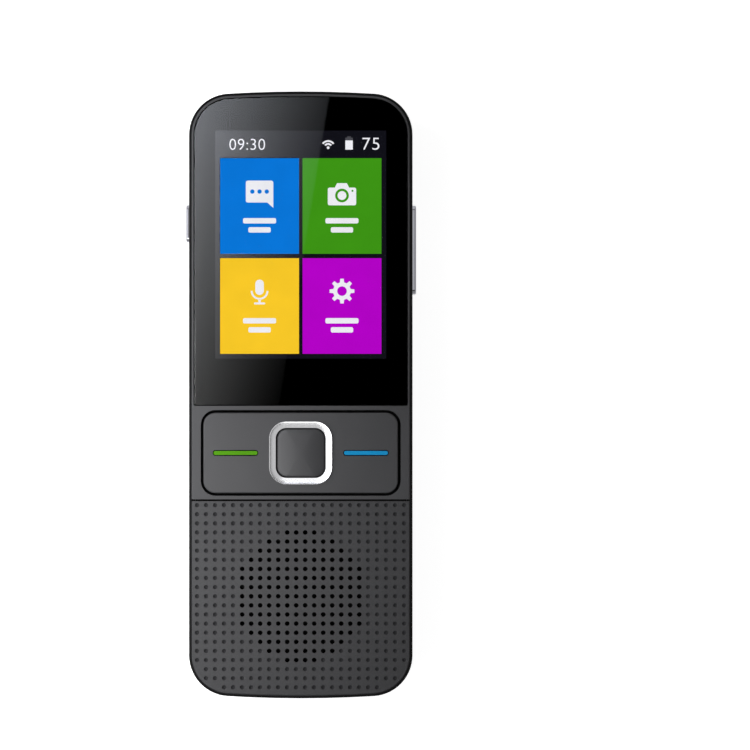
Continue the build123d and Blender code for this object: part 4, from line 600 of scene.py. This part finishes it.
# --------------------------------------
# Picture on the display: four coloured tiles, which are thin lit shapes laid on the panel under the
# glass, with room above them for a status row. Two black flags hang below the reflector card and keep
# its light off the left tiles.
PICTURE_MARGIN = 1.04
PICTURE_FOOT = 1.03
TILE_GAP_ACROSS = 0.76
TILE_GAP_ALONG = 0.94
STATUS_ROW = 5.92
SCREEN_WIDTH = 36.72
SCREEN_LENGTH = 48.96
SCREEN_FROM_TOP = 8.4
LAYER = 0.03              # thickness of one lit layer
LAYER_LIFT = 0.01
BACKLIGHT_PATCH = 6.0     # size of the patches in which the backlight is brighter or weaker
BACKLIGHT = (0.97, 1.03)
CARD_DROP = 2.0           # how far a smaller card hangs below the reflector card
TILE_COLOURS = {"blue": 0x0A79DE, "green": 0x3F9816, "yellow": 0xFFCE2A, "purple": 0xB804CC}


def lit(name, colour):
    """A material that shines with its own colour, very slightly uneven as a backlight is."""
    made = finish_of(name, 0x000000, 0.6, Specular_IOR_Level=0.0, Emission_Color=as_light(colour))
    tree = made.node_tree
    strength = remap(tree, noise_in(tree, BACKLIGHT_PATCH), *NOISE_SPAN, *BACKLIGHT)
    wire(tree, strength, shader_of(tree).inputs["Emission Strength"])
    return made


def drawn(name, curve, material):
    """A piece with the mesh of a curve or of a line of digits."""
    holder = into_scene(name, curve)
    mesh = plain_mesh(holder)
    bpy.data.objects.remove(holder)
    mesh.materials.clear()
    mesh.materials.append(material)
    return into_scene(name, mesh)


def lit_layer(name, loops, low, material):
    """A flat piece one layer thick: each loop is a closed outline, and one inside another is a hole."""
    curve = bpy.data.curves.new(name, "CURVE")
    curve.dimensions = "2D"
    curve.fill_mode = "BOTH"
    curve.extrude = LAYER / 2 * MM
    for loop in loops:
        spline = curve.splines.new("POLY")
        spline.points.add(len(loop) - 1)
        for point, (x, y) in zip(spline.points, loop):
            point.co = (x * MM, y * MM, 0, 1)
        spline.use_cyclic_u = True
    piece = drawn(name, curve, material)
    for vertex in piece.data.vertices:
        vertex.co.z += (low + LAYER / 2) * MM
    return piece


def rectangle(x, y, width, height):
    """A rectangle round a middle."""
    return corners(x - width / 2, x + width / 2, y - height / 2, y + height / 2)


def small_card(name, outline, tone=0.0):
    """A black card, or an even grey one, that shiny surfaces mirror instead of the reflector card."""
    shader_of(
        mirrored_only(name, outline, CARD_DROP), Base_Color=(0, 0, 0, 1), Specular_IOR_Level=0.0,
        Emission_Color=WHITE, Emission_Strength=tone,
    )


screen_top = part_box("side_frame")[1].y / MM - SCREEN_FROM_TOP
tile_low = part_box("lcd_cell")[1].z / MM + LAYER_LIFT
tile_width = (SCREEN_WIDTH - 2 * PICTURE_MARGIN - TILE_GAP_ACROSS) / 2
tile_height = (SCREEN_LENGTH - PICTURE_FOOT - STATUS_ROW - TILE_GAP_ALONG) / 2
column = (tile_width + TILE_GAP_ACROSS) / 2
upper_row = screen_top - STATUS_ROW - tile_height / 2
lower_row = screen_top - SCREEN_LENGTH + PICTURE_FOOT + tile_height / 2
tile_places = {
    "blue": (-column, upper_row),
    "green": (column, upper_row),
    "yellow": (-column, lower_row),
    "purple": (column, lower_row),
}
for tile_name, (tile_x, tile_y) in tile_places.items():
    outline = rectangle(tile_x, tile_y, tile_width, tile_height)
    tile_light = lit(f"lit_{tile_name}", TILE_COLOURS[tile_name])
    tile = lit_layer(f"tile_{tile_name}", [outline], tile_low, tile_light)
    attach(tile, "chassis")
    if tile_x < 0:
        small_card(f"flag_{tile_name}", outline)

# --------------------------------------
# Pictograms: a speech bubble with three dots, a camera, a microphone and a gear wheel, each drawn in
# white light a layer above its tile, and two plain bars below each of them.
BARS_DOWN = 4.15          # from a tile's middle down to its bars'
BAR_HEIGHT = 1.15
BAR_LENGTHS = (7.1, 4.8)
BAR_PITCH = 1.95
BAR_ROUND = 0.3           # corner radius as a share of a bar's height


def arc(x, y, radius, start, end, steps=12):
    """Points along an arc, in degrees."""
    turns = [math.radians(start + (end - start) * step / steps) for step in range(steps + 1)]
    return [(x + radius * math.cos(turn), y + radius * math.sin(turn)) for turn in turns]


def pill(x, y, width, height, radius, steps=6):
    """A rectangle with round corners, counter-clockwise."""
    inner_x = width / 2 - radius
    inner_y = height / 2 - radius
    loop = []
    for quarter, (sx, sy) in enumerate(((1, 1), (-1, 1), (-1, -1), (1, -1))):
        start = quarter * 90
        loop += arc(x + sx * inner_x, y + sy * inner_y, radius, start, start + 90, steps)
    return loop


def speech_bubble(x, y):
    """A rounded bubble with a pointed tail at its lower right, and three dots left out of it."""
    half, low, high, corner = 2.95, -1.75, 2.95, 0.45
    tail_width, tail_drop = 1.3, 1.15
    dot_radius, dot_pitch = 0.48, 1.55
    outline = arc(x + half - corner, y + high - corner, corner, 0, 90, 6)
    outline += arc(x - half + corner, y + high - corner, corner, 90, 180, 6)
    outline += arc(x - half + corner, y + low + corner, corner, 180, 270, 6)
    outline += [(x + half - tail_width, y + low), (x + half, y + low - tail_drop)]
    middle = y + (low + high) / 2
    return [outline, *[arc(x + step * dot_pitch, middle, dot_radius, 0, 345, 15) for step in (-1, 0, 1)]]


def camera_sign(x, y):
    """A camera body with a hump, a ring for its lens and a small lamp."""
    half, low, high, corner = 3.05, -2.35, 1.45, 0.4
    hump_foot, hump_head, hump_high = 1.55, 1.05, 2.4
    ring_radius, lens_radius, lens_down = 1.48, 0.95, 0.25
    lamp_right, lamp_up, lamp_radius = 2.25, 0.75, 0.22
    left, right = x - half + corner, x + half - corner
    foot, head = y + low + corner, y + high - corner
    body = arc(right, foot, corner, -90, 0, 4) + arc(right, head, corner, 0, 90, 4)
    body += [(x + hump_foot, y + high), (x + hump_head, y + hump_high)]
    body += [(x - hump_head, y + hump_high), (x - hump_foot, y + high)]
    body += arc(left, head, corner, 90, 180, 4) + arc(left, foot, corner, 180, 270, 4)
    ring = arc(x, y - lens_down, ring_radius, 0, 354, 30)
    lens = arc(x, y - lens_down, lens_radius, 0, 350, 24)
    return [body, ring, lens, arc(x + lamp_right, y + lamp_up, lamp_radius, 0, 330, 10)]


def microphone_sign(x, y):
    """A capsule in a round holder, on a stem with a foot."""
    capsule_radius, capsule_low, capsule_high = 0.92, 0.3, 1.75
    holder_outer, holder_inner, holder_up = 1.9, 1.5, 0.25
    stem_height, stem_down = 0.8, 1.95
    foot_width, foot_down, foot_corner = 2.4, 2.45, 0.2
    line = 0.42
    capsule = arc(x, y + capsule_high, capsule_radius, 0, 180)
    capsule += arc(x, y + capsule_low, capsule_radius, 180, 360)
    holder = arc(x, y + holder_up, holder_outer, 180, 360, 20)
    holder += arc(x, y + holder_up, holder_inner, 360, 180, 20)
    stem = rectangle(x, y - stem_down, line, stem_height)
    return [capsule, holder, stem, pill(x, y - foot_down, foot_width, line, foot_corner)]


def gear_sign(x, y):
    """A wheel with square-tipped teeth and a round hole. A tooth's half widths are shares of the pitch."""
    teeth, tip, root, hole = 8, 2.68, 1.92, 1.03
    tip_half, root_half = 0.17, 0.30
    pitch = 360 / teeth
    outline = []
    for tooth in range(teeth):
        for offset, radius in ((-root_half, root), (-tip_half, tip), (tip_half, tip), (root_half, root)):
            turn = math.radians(90 + tooth * pitch + offset * pitch)
            outline.append((x + radius * math.cos(turn), y + radius * math.sin(turn)))
    return [outline, arc(x, y, hole, 0, 348, 29)]


white_light = lit("lit_white", 0xF4F4FA)
icon_low = tile_low + LAYER + LAYER_LIFT
signs = {                 # what each tile shows, and how far above its middle
    "blue": (speech_bubble, 2.5),
    "green": (camera_sign, 2.5),
    "yellow": (microphone_sign, 3.0),
    "purple": (gear_sign, 3.2),
}
for tile_name, (draw, up) in signs.items():
    tile_x, tile_y = tile_places[tile_name]
    sign = lit_layer(f"sign_{tile_name}", draw(tile_x, tile_y + up), icon_low, white_light)
    bars = []
    for row, length in enumerate(BAR_LENGTHS):
        bar_y = tile_y - BARS_DOWN + BAR_PITCH * (0.5 - row)
        bars.append(pill(tile_x, bar_y, length, BAR_HEIGHT, BAR_HEIGHT * BAR_ROUND))
    label = lit_layer(f"bars_{tile_name}", bars, icon_low, white_light)
    for piece in (sign, label):
        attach(piece, "chassis")

# --------------------------------------
# Status row: a clock and a charge figure in plain digits, radio arcs and a small battery, in white
# light along the top of the picture. The battery's empty part is grey.
STATUS_DOWN = 2.95        # from the picture's top edge down to the row's middle
CLOCK_PLACE = (-11.5, 0.0, 7.66, 2.4)   # middle, raised by, width and height of the clock
CHARGE_PLACE = (15.05, 0.12, 3.65, 2.58)
DIGIT_THINNER = 0.008     # what the strokes lose on each side, for letters one unit high
DIGIT_SPACING = 1.06
DIGIT_HALF = 0.5          # half their thickness before they are squeezed into a layer
ARCS_X = 5.88
ARCS_FOOT = 0.72          # how far the arcs' dot is below the row's middle
ARC_DOT = 0.3
ARC_RADII = (1.0, 1.62)
ARC_WIDTH = 0.38
ARC_ENDS = (36, 144)
CHARGE_SIGN_X = 10.37
CHARGE_SIGN_DOWN = 0.15
CHARGE_SIGN_WIDTH = 1.6
CHARGE_FULL = 1.97        # height of its white part
CHARGE_EMPTY = 0.62
CHARGE_NUB = (0.8, 0.26)  # width and height of the small battery's terminal
CHARGE_NUB_GAP = 0.01

status_y = screen_top - STATUS_DOWN


def digits(name, characters, place):
    """Plain digits as a flat mesh, drawn out to a width and a height."""
    middle, raised, width, height = place
    words = bpy.data.curves.new(name, "FONT")
    words.body = characters
    words.extrude = DIGIT_HALF
    words.offset = -DIGIT_THINNER
    words.space_character = DIGIT_SPACING
    piece = drawn(name, words, white_light)
    points = [vertex.co.copy() for vertex in piece.data.vertices]
    low = [min(point[axis] for point in points) for axis in (0, 1)]
    high = [max(point[axis] for point in points) for axis in (0, 1)]
    for vertex, point in zip(piece.data.vertices, points):
        x = (point.x - (low[0] + high[0]) / 2) * width / (high[0] - low[0])
        y = (point.y - (low[1] + high[1]) / 2) * height / (high[1] - low[1])
        z = icon_low + (point.z + DIGIT_HALF) * LAYER
        vertex.co = Vector((middle + x, status_y + raised + y, z)) * MM
    return piece


arcs_y = status_y - ARCS_FOOT
arcs = [arc(ARCS_X, arcs_y, ARC_DOT, 0, 340, 14)]
for radius in ARC_RADII:
    inner = arc(ARCS_X, arcs_y, radius - ARC_WIDTH, *ARC_ENDS[::-1])
    arcs.append(arc(ARCS_X, arcs_y, radius, *ARC_ENDS) + inner)
full_y = status_y - CHARGE_SIGN_DOWN
empty_low = full_y + CHARGE_FULL / 2
nub_y = empty_low + CHARGE_EMPTY + CHARGE_NUB[1] / 2 + CHARGE_NUB_GAP
charge_full = [rectangle(CHARGE_SIGN_X, full_y, CHARGE_SIGN_WIDTH, CHARGE_FULL)]
charge_empty = [
    rectangle(CHARGE_SIGN_X, empty_low + CHARGE_EMPTY / 2, CHARGE_SIGN_WIDTH, CHARGE_EMPTY),
    rectangle(CHARGE_SIGN_X, nub_y, *CHARGE_NUB),
]
dim_light = lit("lit_dim", 0x4A4A50)
status_pieces = [
    digits("clock_digits", "09:30", CLOCK_PLACE),
    digits("charge_digits", "75", CHARGE_PLACE),
    lit_layer("radio_arcs", arcs, icon_low, white_light),
    lit_layer("charge_full", charge_full, icon_low, white_light),
    lit_layer("charge_empty", charge_empty, icon_low, dim_light),
]
for piece in status_pieces:
    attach(piece, "chassis")

# --------------------------------------
# Language key: a moulded plate in black plastic with the cover's grey lacquer on its face. It tilts to
# either side on two pins in notches of the front cover, which a retainer closes from behind.
KEY_COLOUR = 0x404042
KEY_SATIN = 0.3

key_lacquer = finish_of("key_lacquer", KEY_COLOUR, KEY_SATIN, Specular_IOR_Level=0.3)
mottle(key_lacquer, 0.35, 0.04)
wear(key_lacquer, 7.0, KEY_SATIN - 0.02, KEY_SATIN + 0.03)
grain(key_lacquer, 0.16, 0.001)
cap_lacquer = key_lacquer.copy()
cap_lacquer.name = "cap_lacquer"
key_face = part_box("key_plate")[1].z / MM
sunk(key_lacquer, key_face - 2 * PAINT_DEPTH, key_face - PAINT_DEPTH, UNPAINTED)
dress(key_lacquer, "key_plate")

black_moulding = finish_of("black_moulding", 0x151516, 0.5)
mottle(black_moulding, 0.6, 0.15)
grain(black_moulding, 0.2, 0.006)
dress(black_moulding, "key_retainer")

# --------------------------------------
# Select key: a square cap in the same lacquer, with a face that is crowned from side to side and a
# flange below that holds it in the language key. It sinks in the middle of the bright ring.
CAP_CROWN = 0.28          # how far the face falls towards its left and right edges
CAP_ROUND = 0.3
CAP_SIZE = 10.3
CAP_RADIUS = 2.1
CROWN_INSETS = (1.0, 1.9, 2.8, 3.7, 4.5, 5.0)   # where the face is divided, from its edge inwards
FLANGE_THICKNESS = 0.7
CORNER_STEPS = 14
EDGE_STEPS = 4
SHARP_EDGE = math.radians(30)   # sharper edges aren't smoothed over


def round_square(middle, half, radius, height):
    """A loop round a square with round corners, at a height in metres."""
    outline = pill(0, 0, 2 * half, 2 * half, radius, CORNER_STEPS)
    return [(middle.x + x * MM, middle.y + y * MM, height) for x, y in outline]


def skin(name, loops, material, closed=True):
    """A mesh through loops of equal length, each above or inside the one before. The last is joined to the
    first if closed, and otherwise each end is filled with a fan."""
    count = len(loops[0])
    points = [point for loop in loops for point in loop]
    faces = []
    for ring in range(len(loops) if closed else len(loops) - 1):
        this = ring * count
        following = (ring + 1) % len(loops) * count
        for step in range(count):
            after = (step + 1) % count
            faces.append((this + step, this + after, following + after, following + step))
    if not closed:
        for loop, first, turn in ((loops[0], 0, -1), (loops[-1], len(points) - count, 1)):
            middle = len(points)
            points.append(tuple(sum(point[axis] for point in loop) / count for axis in range(3)))
            faces += [(middle, *(first + step, first + (step + 1) % count)[::turn]) for step in range(count)]
    piece = mesh_piece(name, points, faces, material)
    piece.data.polygons.foreach_set("use_smooth", [True] * len(faces))
    piece.data.set_sharp_from_angle(angle=SHARP_EDGE)
    return piece


select_low, select_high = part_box("select_key")
select_middle = (select_low + select_high) / 2
flange_half = (select_high.x - select_low.x) / 2 / MM
cap_half = CAP_SIZE / 2


def crowned(inset, drop):
    """A loop of the cap's face, this far in from its edge and this far below the crown."""
    scale = 1 - inset / cap_half
    loop = []
    for x, y, _ in round_square(select_middle, cap_half * scale, CAP_RADIUS * scale, 0):
        fall = CAP_CROWN * ((x - select_middle.x) / (cap_half * MM)) ** 2
        loop.append((x, y, select_high.z - (drop + fall) * MM))
    return loop


flange_top = select_low.z + FLANGE_THICKNESS * MM
cap_loops = [
    round_square(select_middle, flange_half, CAP_RADIUS, select_low.z),
    round_square(select_middle, flange_half, CAP_RADIUS, flange_top),
    round_square(select_middle, cap_half, CAP_RADIUS, flange_top),
]
for step in range(EDGE_STEPS + 1):
    lean = math.radians(90 * step / EDGE_STEPS)
    cap_loops.append(crowned(CAP_ROUND * (1 - math.cos(lean)), CAP_ROUND * (1 - math.sin(lean))))
cap_loops += [crowned(inset, 0.0) for inset in CROWN_INSETS]
cap_edge = select_high.z / MM - CAP_CROWN
sunk(cap_lacquer, cap_edge - CAP_ROUND - PAINT_DEPTH, cap_edge - CAP_ROUND, UNPAINTED)
select_cap = skin("select_cap", cap_loops, cap_lacquer, closed=False)
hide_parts("select_key")
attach(select_cap, "select_button")

# --------------------------------------
# Light bars: two coloured light guides, moulded and pushed into sunk slots in the language key, green
# on the left and blue on the right. They stand on the silicone pads and have a painted glow; no lamp lights
# them.
# strength of the bars' painted glow
BAR_PAINTED_GLOW = 0.22


def light_guide(name, colour):
    """Tinted plastic with a painted glow in its own colour."""
    made = finish_of(
        name, colour, 0.35, Specular_IOR_Level=0.1,
        Emission_Color=as_light(colour), Emission_Strength=BAR_PAINTED_GLOW,
    )
    mottle(made, 1.2, 0.10, stretch=(3, 1, 1))
    return made


dress(light_guide("green_guide", 0x4A8B08), "green_light_bar")
dress(light_guide("blue_guide", 0x108AC2), "blue_light_bar")

# --------------------------------------
# Key ring: a zinc casting with a satin chrome plating, pressed into a seat round the select key. Its
# band falls from a crest at the outer edge towards the key inside, so it mirrors what lies across.
RING_BAND = 1.4
RING_RADIUS = 3.7
RING_PROFILE = (          # how far in from the outer edge, and how far below the crest
    (0.00, 0.10),
    (0.03, 0.04),
    (0.10, 0.00),
    (0.20, 0.01),
    (1.22, 0.26),
    (1.34, 0.31),
    (RING_BAND, 0.38),
)

ring_low, ring_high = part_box("key_ring")
ring_middle = (ring_low + ring_high) / 2
ring_half = (ring_high.x - ring_low.x) / 2 / MM
profile = [(0.0, ring_low.z), *[(inset, ring_high.z - drop * MM) for inset, drop in RING_PROFILE]]
profile.append((RING_BAND, ring_low.z))
ring_loops = [
    round_square(ring_middle, ring_half - inset, RING_RADIUS - inset, height) for inset, height in profile
]
ring_chrome = finish_of("satin_chrome", 0xE8E8EA, 0.2, Metallic=1.0)
wear(ring_chrome, 2.5, 0.18, 0.22)
ring = skin("ring_band", ring_loops, ring_chrome)
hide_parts("key_ring")
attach(ring, "language_key")

# --------------------------------------
# Side keys: milled aluminium caps, polished and anodised silver. They stand through windows in the side
# frame, the short one for power on the left and the long one for volume on the right. Above each of
# them hangs a narrow grey card, which it mirrors.
SIDE_CARD_FROM = 23.0     # from the unit's middle line
SIDE_CARD_TO = 27.0
POWER_CARD_TONE = 0.72
VOLUME_CARD_TONE = 1.1

silver_anodised = finish_of("silver_anodised", 0x9A9AA0, 0.03, Metallic=1.0)
wear(silver_anodised, 0.5, 0.02, 0.04, stretch=(1, 6, 1))
small_card("card_power", corners(-SIDE_CARD_TO, -SIDE_CARD_FROM, 0.0, CARD_REACH), POWER_CARD_TONE)
small_card("card_volume", corners(SIDE_CARD_FROM, SIDE_CARD_TO, 0.0, CARD_REACH), VOLUME_CARD_TONE)
dress(silver_anodised, "power_button", "volume_button")

# --------------------------------------
# Camera: a round polished window with black print behind it, a grey stop with a small pupil, a coated
# lens behind the pupil and the moulded camera module on the main board.
window_gloss = finish_of("black_window", 0x101114, 0.06, Specular_IOR_Level=0.2)
wear(window_gloss, 4.0, 0.04, 0.09)
dress(window_gloss, "camera_window")

stop_grey = finish_of("stop_grey", 0x50515A, 0.45)
mottle(stop_grey, 0.4, 0.12)
grain(stop_grey, 0.12, 0.004)
dress(stop_grey, "lens_ring")

coated_lens = finish_of("coated_lens", 0x0B0A16, 0.03, Coat_Weight=1.0)
mottle(coated_lens, 1.5, 0.4)
dress(coated_lens, "camera_lens")
dress(black_moulding, "camera_module")

# --------------------------------------
# Flash: a clear disc over a yellow phosphor with a painted glow, on a white lamp body that is off. Fine
# round ridges are moulded in its face to spread the light, each with a steep side and a gentle one.
PHOSPHOR_COLOUR = 0xDEDE68
# strength of the phosphor's painted glow
PHOSPHOR_PAINTED_GLOW = 0.2
RIDGES = 6
RIDGE_HEIGHT = 0.05
RIDGE_STEEP = 0.15        # share of a ridge's width that its steep side takes
RIM_DOWN = RIDGE_HEIGHT / 4   # how far the disc's rim lies below the ridges' crests
LENS_STEPS = 48

phosphor = finish_of(
    "yellow_phosphor", PHOSPHOR_COLOUR, 0.3, Coat_Weight=0.7,
    Emission_Color=as_light(PHOSPHOR_COLOUR), Emission_Strength=PHOSPHOR_PAINTED_GLOW,
)
mottle(phosphor, 0.3, 0.08)
flash_low, flash_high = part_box("flash_lens")
flash_middle = (flash_low + flash_high) / 2
flash_radius = (flash_high.x - flash_low.x) / 2
ridge_width = flash_radius / RIDGES
ridge_crest = flash_low.z
ridge_foot = ridge_crest + RIDGE_HEIGHT * MM


def lens_loop(radius, height):
    """A circle round the flash's middle."""
    points = arc(0, 0, radius, 0, 360 - 360 / LENS_STEPS, LENS_STEPS - 1)
    return [(flash_middle.x + x, flash_middle.y + y, height) for x, y in points]


flash_loops = [lens_loop((1 - RIDGE_STEEP) * ridge_width, ridge_crest)]
for ridge in range(1, RIDGES):
    flash_loops.append(lens_loop(ridge * ridge_width, ridge_foot))
    flash_loops.append(lens_loop((ridge + 1 - RIDGE_STEEP) * ridge_width, ridge_crest))
flash_loops.append(lens_loop(flash_radius, ridge_crest + RIM_DOWN * MM))
flash_loops.append(lens_loop(flash_radius, flash_high.z))
flash = skin("flash_disc", flash_loops, phosphor, closed=False)
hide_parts("flash_lens")
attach(flash, "chassis")
dress(white_moulding, "flash_led")

# --------------------------------------
# Charging socket: a folded shell of bright steel with a black moulded tongue, soldered to the lower
# board and set back in its window in the side frame.
bright_steel = finish_of("bright_steel", 0xB9BBBF, 0.28, Metallic=1.0)
wear(bright_steel, 0.6, 0.2, 0.36, stretch=(5, 1, 1))
grain(bright_steel, 0.12, 0.002, stretch=(6, 1, 1))
dress(bright_steel, "charge_socket")
dress(black_moulding, "socket_tongue")

# --------------------------------------
# Battery: a flat lithium cell in a dark printed film, with a moulded end cap. Its gold-plated terminals
# face three leaf springs on a moulded contact block.
battery_film = finish_of("battery_film", 0x26282C, 0.32, Coat_Weight=0.4, Coat_Roughness=0.15)
mottle(battery_film, 5.0, 0.10)
wear(battery_film, 3.0, 0.26, 0.42)
grain(battery_film, 2.2, 0.02)
dress(battery_film, "battery_pack")
dress(black_moulding, "battery_cap", "contact_block")

gold_plate = finish_of("gold_plate", 0xE2B652, 0.22, Metallic=1.0)
wear(gold_plate, 0.4, 0.16, 0.34)
grain(gold_plate, 0.1, 0.002, stretch=(1, 1, 4))
dress(gold_plate, "battery_terminals", "battery_contacts")

# --------------------------------------
# Circuit boards: glass-fibre laminate under green solder mask, with the weave just showing. They carry
# black chips, a steel shield and a steel radio can, ceramic parts and ivory sockets. Amber flexible
# circuits join them to the keys, and a gold-plated spring joins them to the aerial.
board_green = finish_of("solder_mask", 0x12562E, 0.3, Coat_Weight=0.3)
mottle(board_green, 0.7, 0.18, stretch=(1, 2, 1))
grain(board_green, 0.5, 0.006)
dress(board_green, "main_board", "lower_board")
dress(bright_steel, "shield_can", "radio_module")

chip_epoxy = finish_of("chip_epoxy", 0x1C1C1E, 0.6)
mottle(chip_epoxy, 0.2, 0.25)
grain(chip_epoxy, 0.15, 0.01)
dress(chip_epoxy, "processor_chip", "memory_chip")

ceramic = finish_of("ceramic", 0x9C8A6E, 0.5)
mottle(ceramic, 0.8, 0.2)
dress(ceramic, "board_parts")

ivory = finish_of("ivory_moulding", 0xD8CFB2, 0.45)
mottle(ivory, 1.0, 0.08)
dress(ivory, "board_connectors")

dress(amber_film, "power_flex", "volume_flex", "link_flex", "antenna")
dress(gold_plate, "antenna_spring")

# --------------------------------------
# Behind the keys: translucent silicone pads with plungers, over snap domes of sprung steel that stand on
# a pale polyester sheet or on a side key's flexible circuit.
silicone = finish_of(
    "grey_silicone", 0x8A8A8C, 0.55, Subsurface_Weight=0.15, Subsurface_Radius=(MM, MM, MM),
)
mottle(silicone, 1.5, 0.08)
grain(silicone, 0.3, 0.004)
dress(silicone, "key_pads", "select_pad")

polyester = finish_of("polyester_sheet", 0xC8CCD0, 0.3, Coat_Weight=0.2)
mottle(polyester, 2.0, 0.05)
dress(polyester, "dome_sheet")

sprung_steel = finish_of("sprung_steel", 0xC4C6CA, 0.2, Metallic=1.0)
wear(sprung_steel, 0.5, 0.14, 0.28)
dress(sprung_steel, "key_domes", "side_domes")

# --------------------------------------
# Microphone: a small capsule on the lower board, with black felt over its face. A moulded silicone boot
# seals it to its hole in the side frame.
black_silicone = finish_of("black_silicone", 0x121213, 0.6, Specular_IOR_Level=0.3)
mottle(black_silicone, 0.6, 0.15)
dress(black_silicone, "microphone_boot")

black_felt = finish_of("black_felt", 0x08080A, 1.0, Specular_IOR_Level=0.0)
mottle(black_felt, 0.2, 0.3)
dress(black_felt, "microphone")

# --------------------------------------
# Speaker: a nickel-plated magnet in a black basket, a copper voice coil over it, and one formed film
# for the cone, its dome and its surround. A ring of black foam seals the basket to the front cover.
nickel = finish_of("nickel_plate", 0xA8A8AC, 0.3, Metallic=1.0)
wear(nickel, 0.9, 0.24, 0.4)
dress(nickel, "speaker_magnet")
dress(black_moulding, "speaker_basket")
dress(black_foam, "speaker_gasket")

copper_wire = finish_of("copper_wire", 0xB5673A, 0.35, Metallic=0.9)
grain(copper_wire, 0.1, 0.02, stretch=(20, 20, 1))
mottle(copper_wire, 0.3, 0.15)
dress(copper_wire, "speaker_coil")

cone_film = finish_of("cone_film", 0x151516, 0.5, Specular_IOR_Level=0.3)
mottle(cone_film, 1.2, 0.15)
dress(cone_film, "speaker_diaphragm")

# --------------------------------------
# Screws and inserts: zinc-plated machine screws with a six-sided drive, turned into knurled brass
# inserts that are melted into the bosses of the side frame and the front cover.
zinc_plate = finish_of("zinc_plate", 0xAEB1B6, 0.3, Metallic=1.0)
wear(zinc_plate, 0.5, 0.22, 0.42)
grain(zinc_plate, 0.1, 0.003)
dress(zinc_plate, "housing_screws")

turned_brass = finish_of("turned_brass", 0xC9A257, 0.3, Metallic=1.0)
grain(turned_brass, 0.18, 0.02, stretch=(1, 1, 6))
wear(turned_brass, 0.5, 0.24, 0.4)
dress(turned_brass, "screw_inserts")
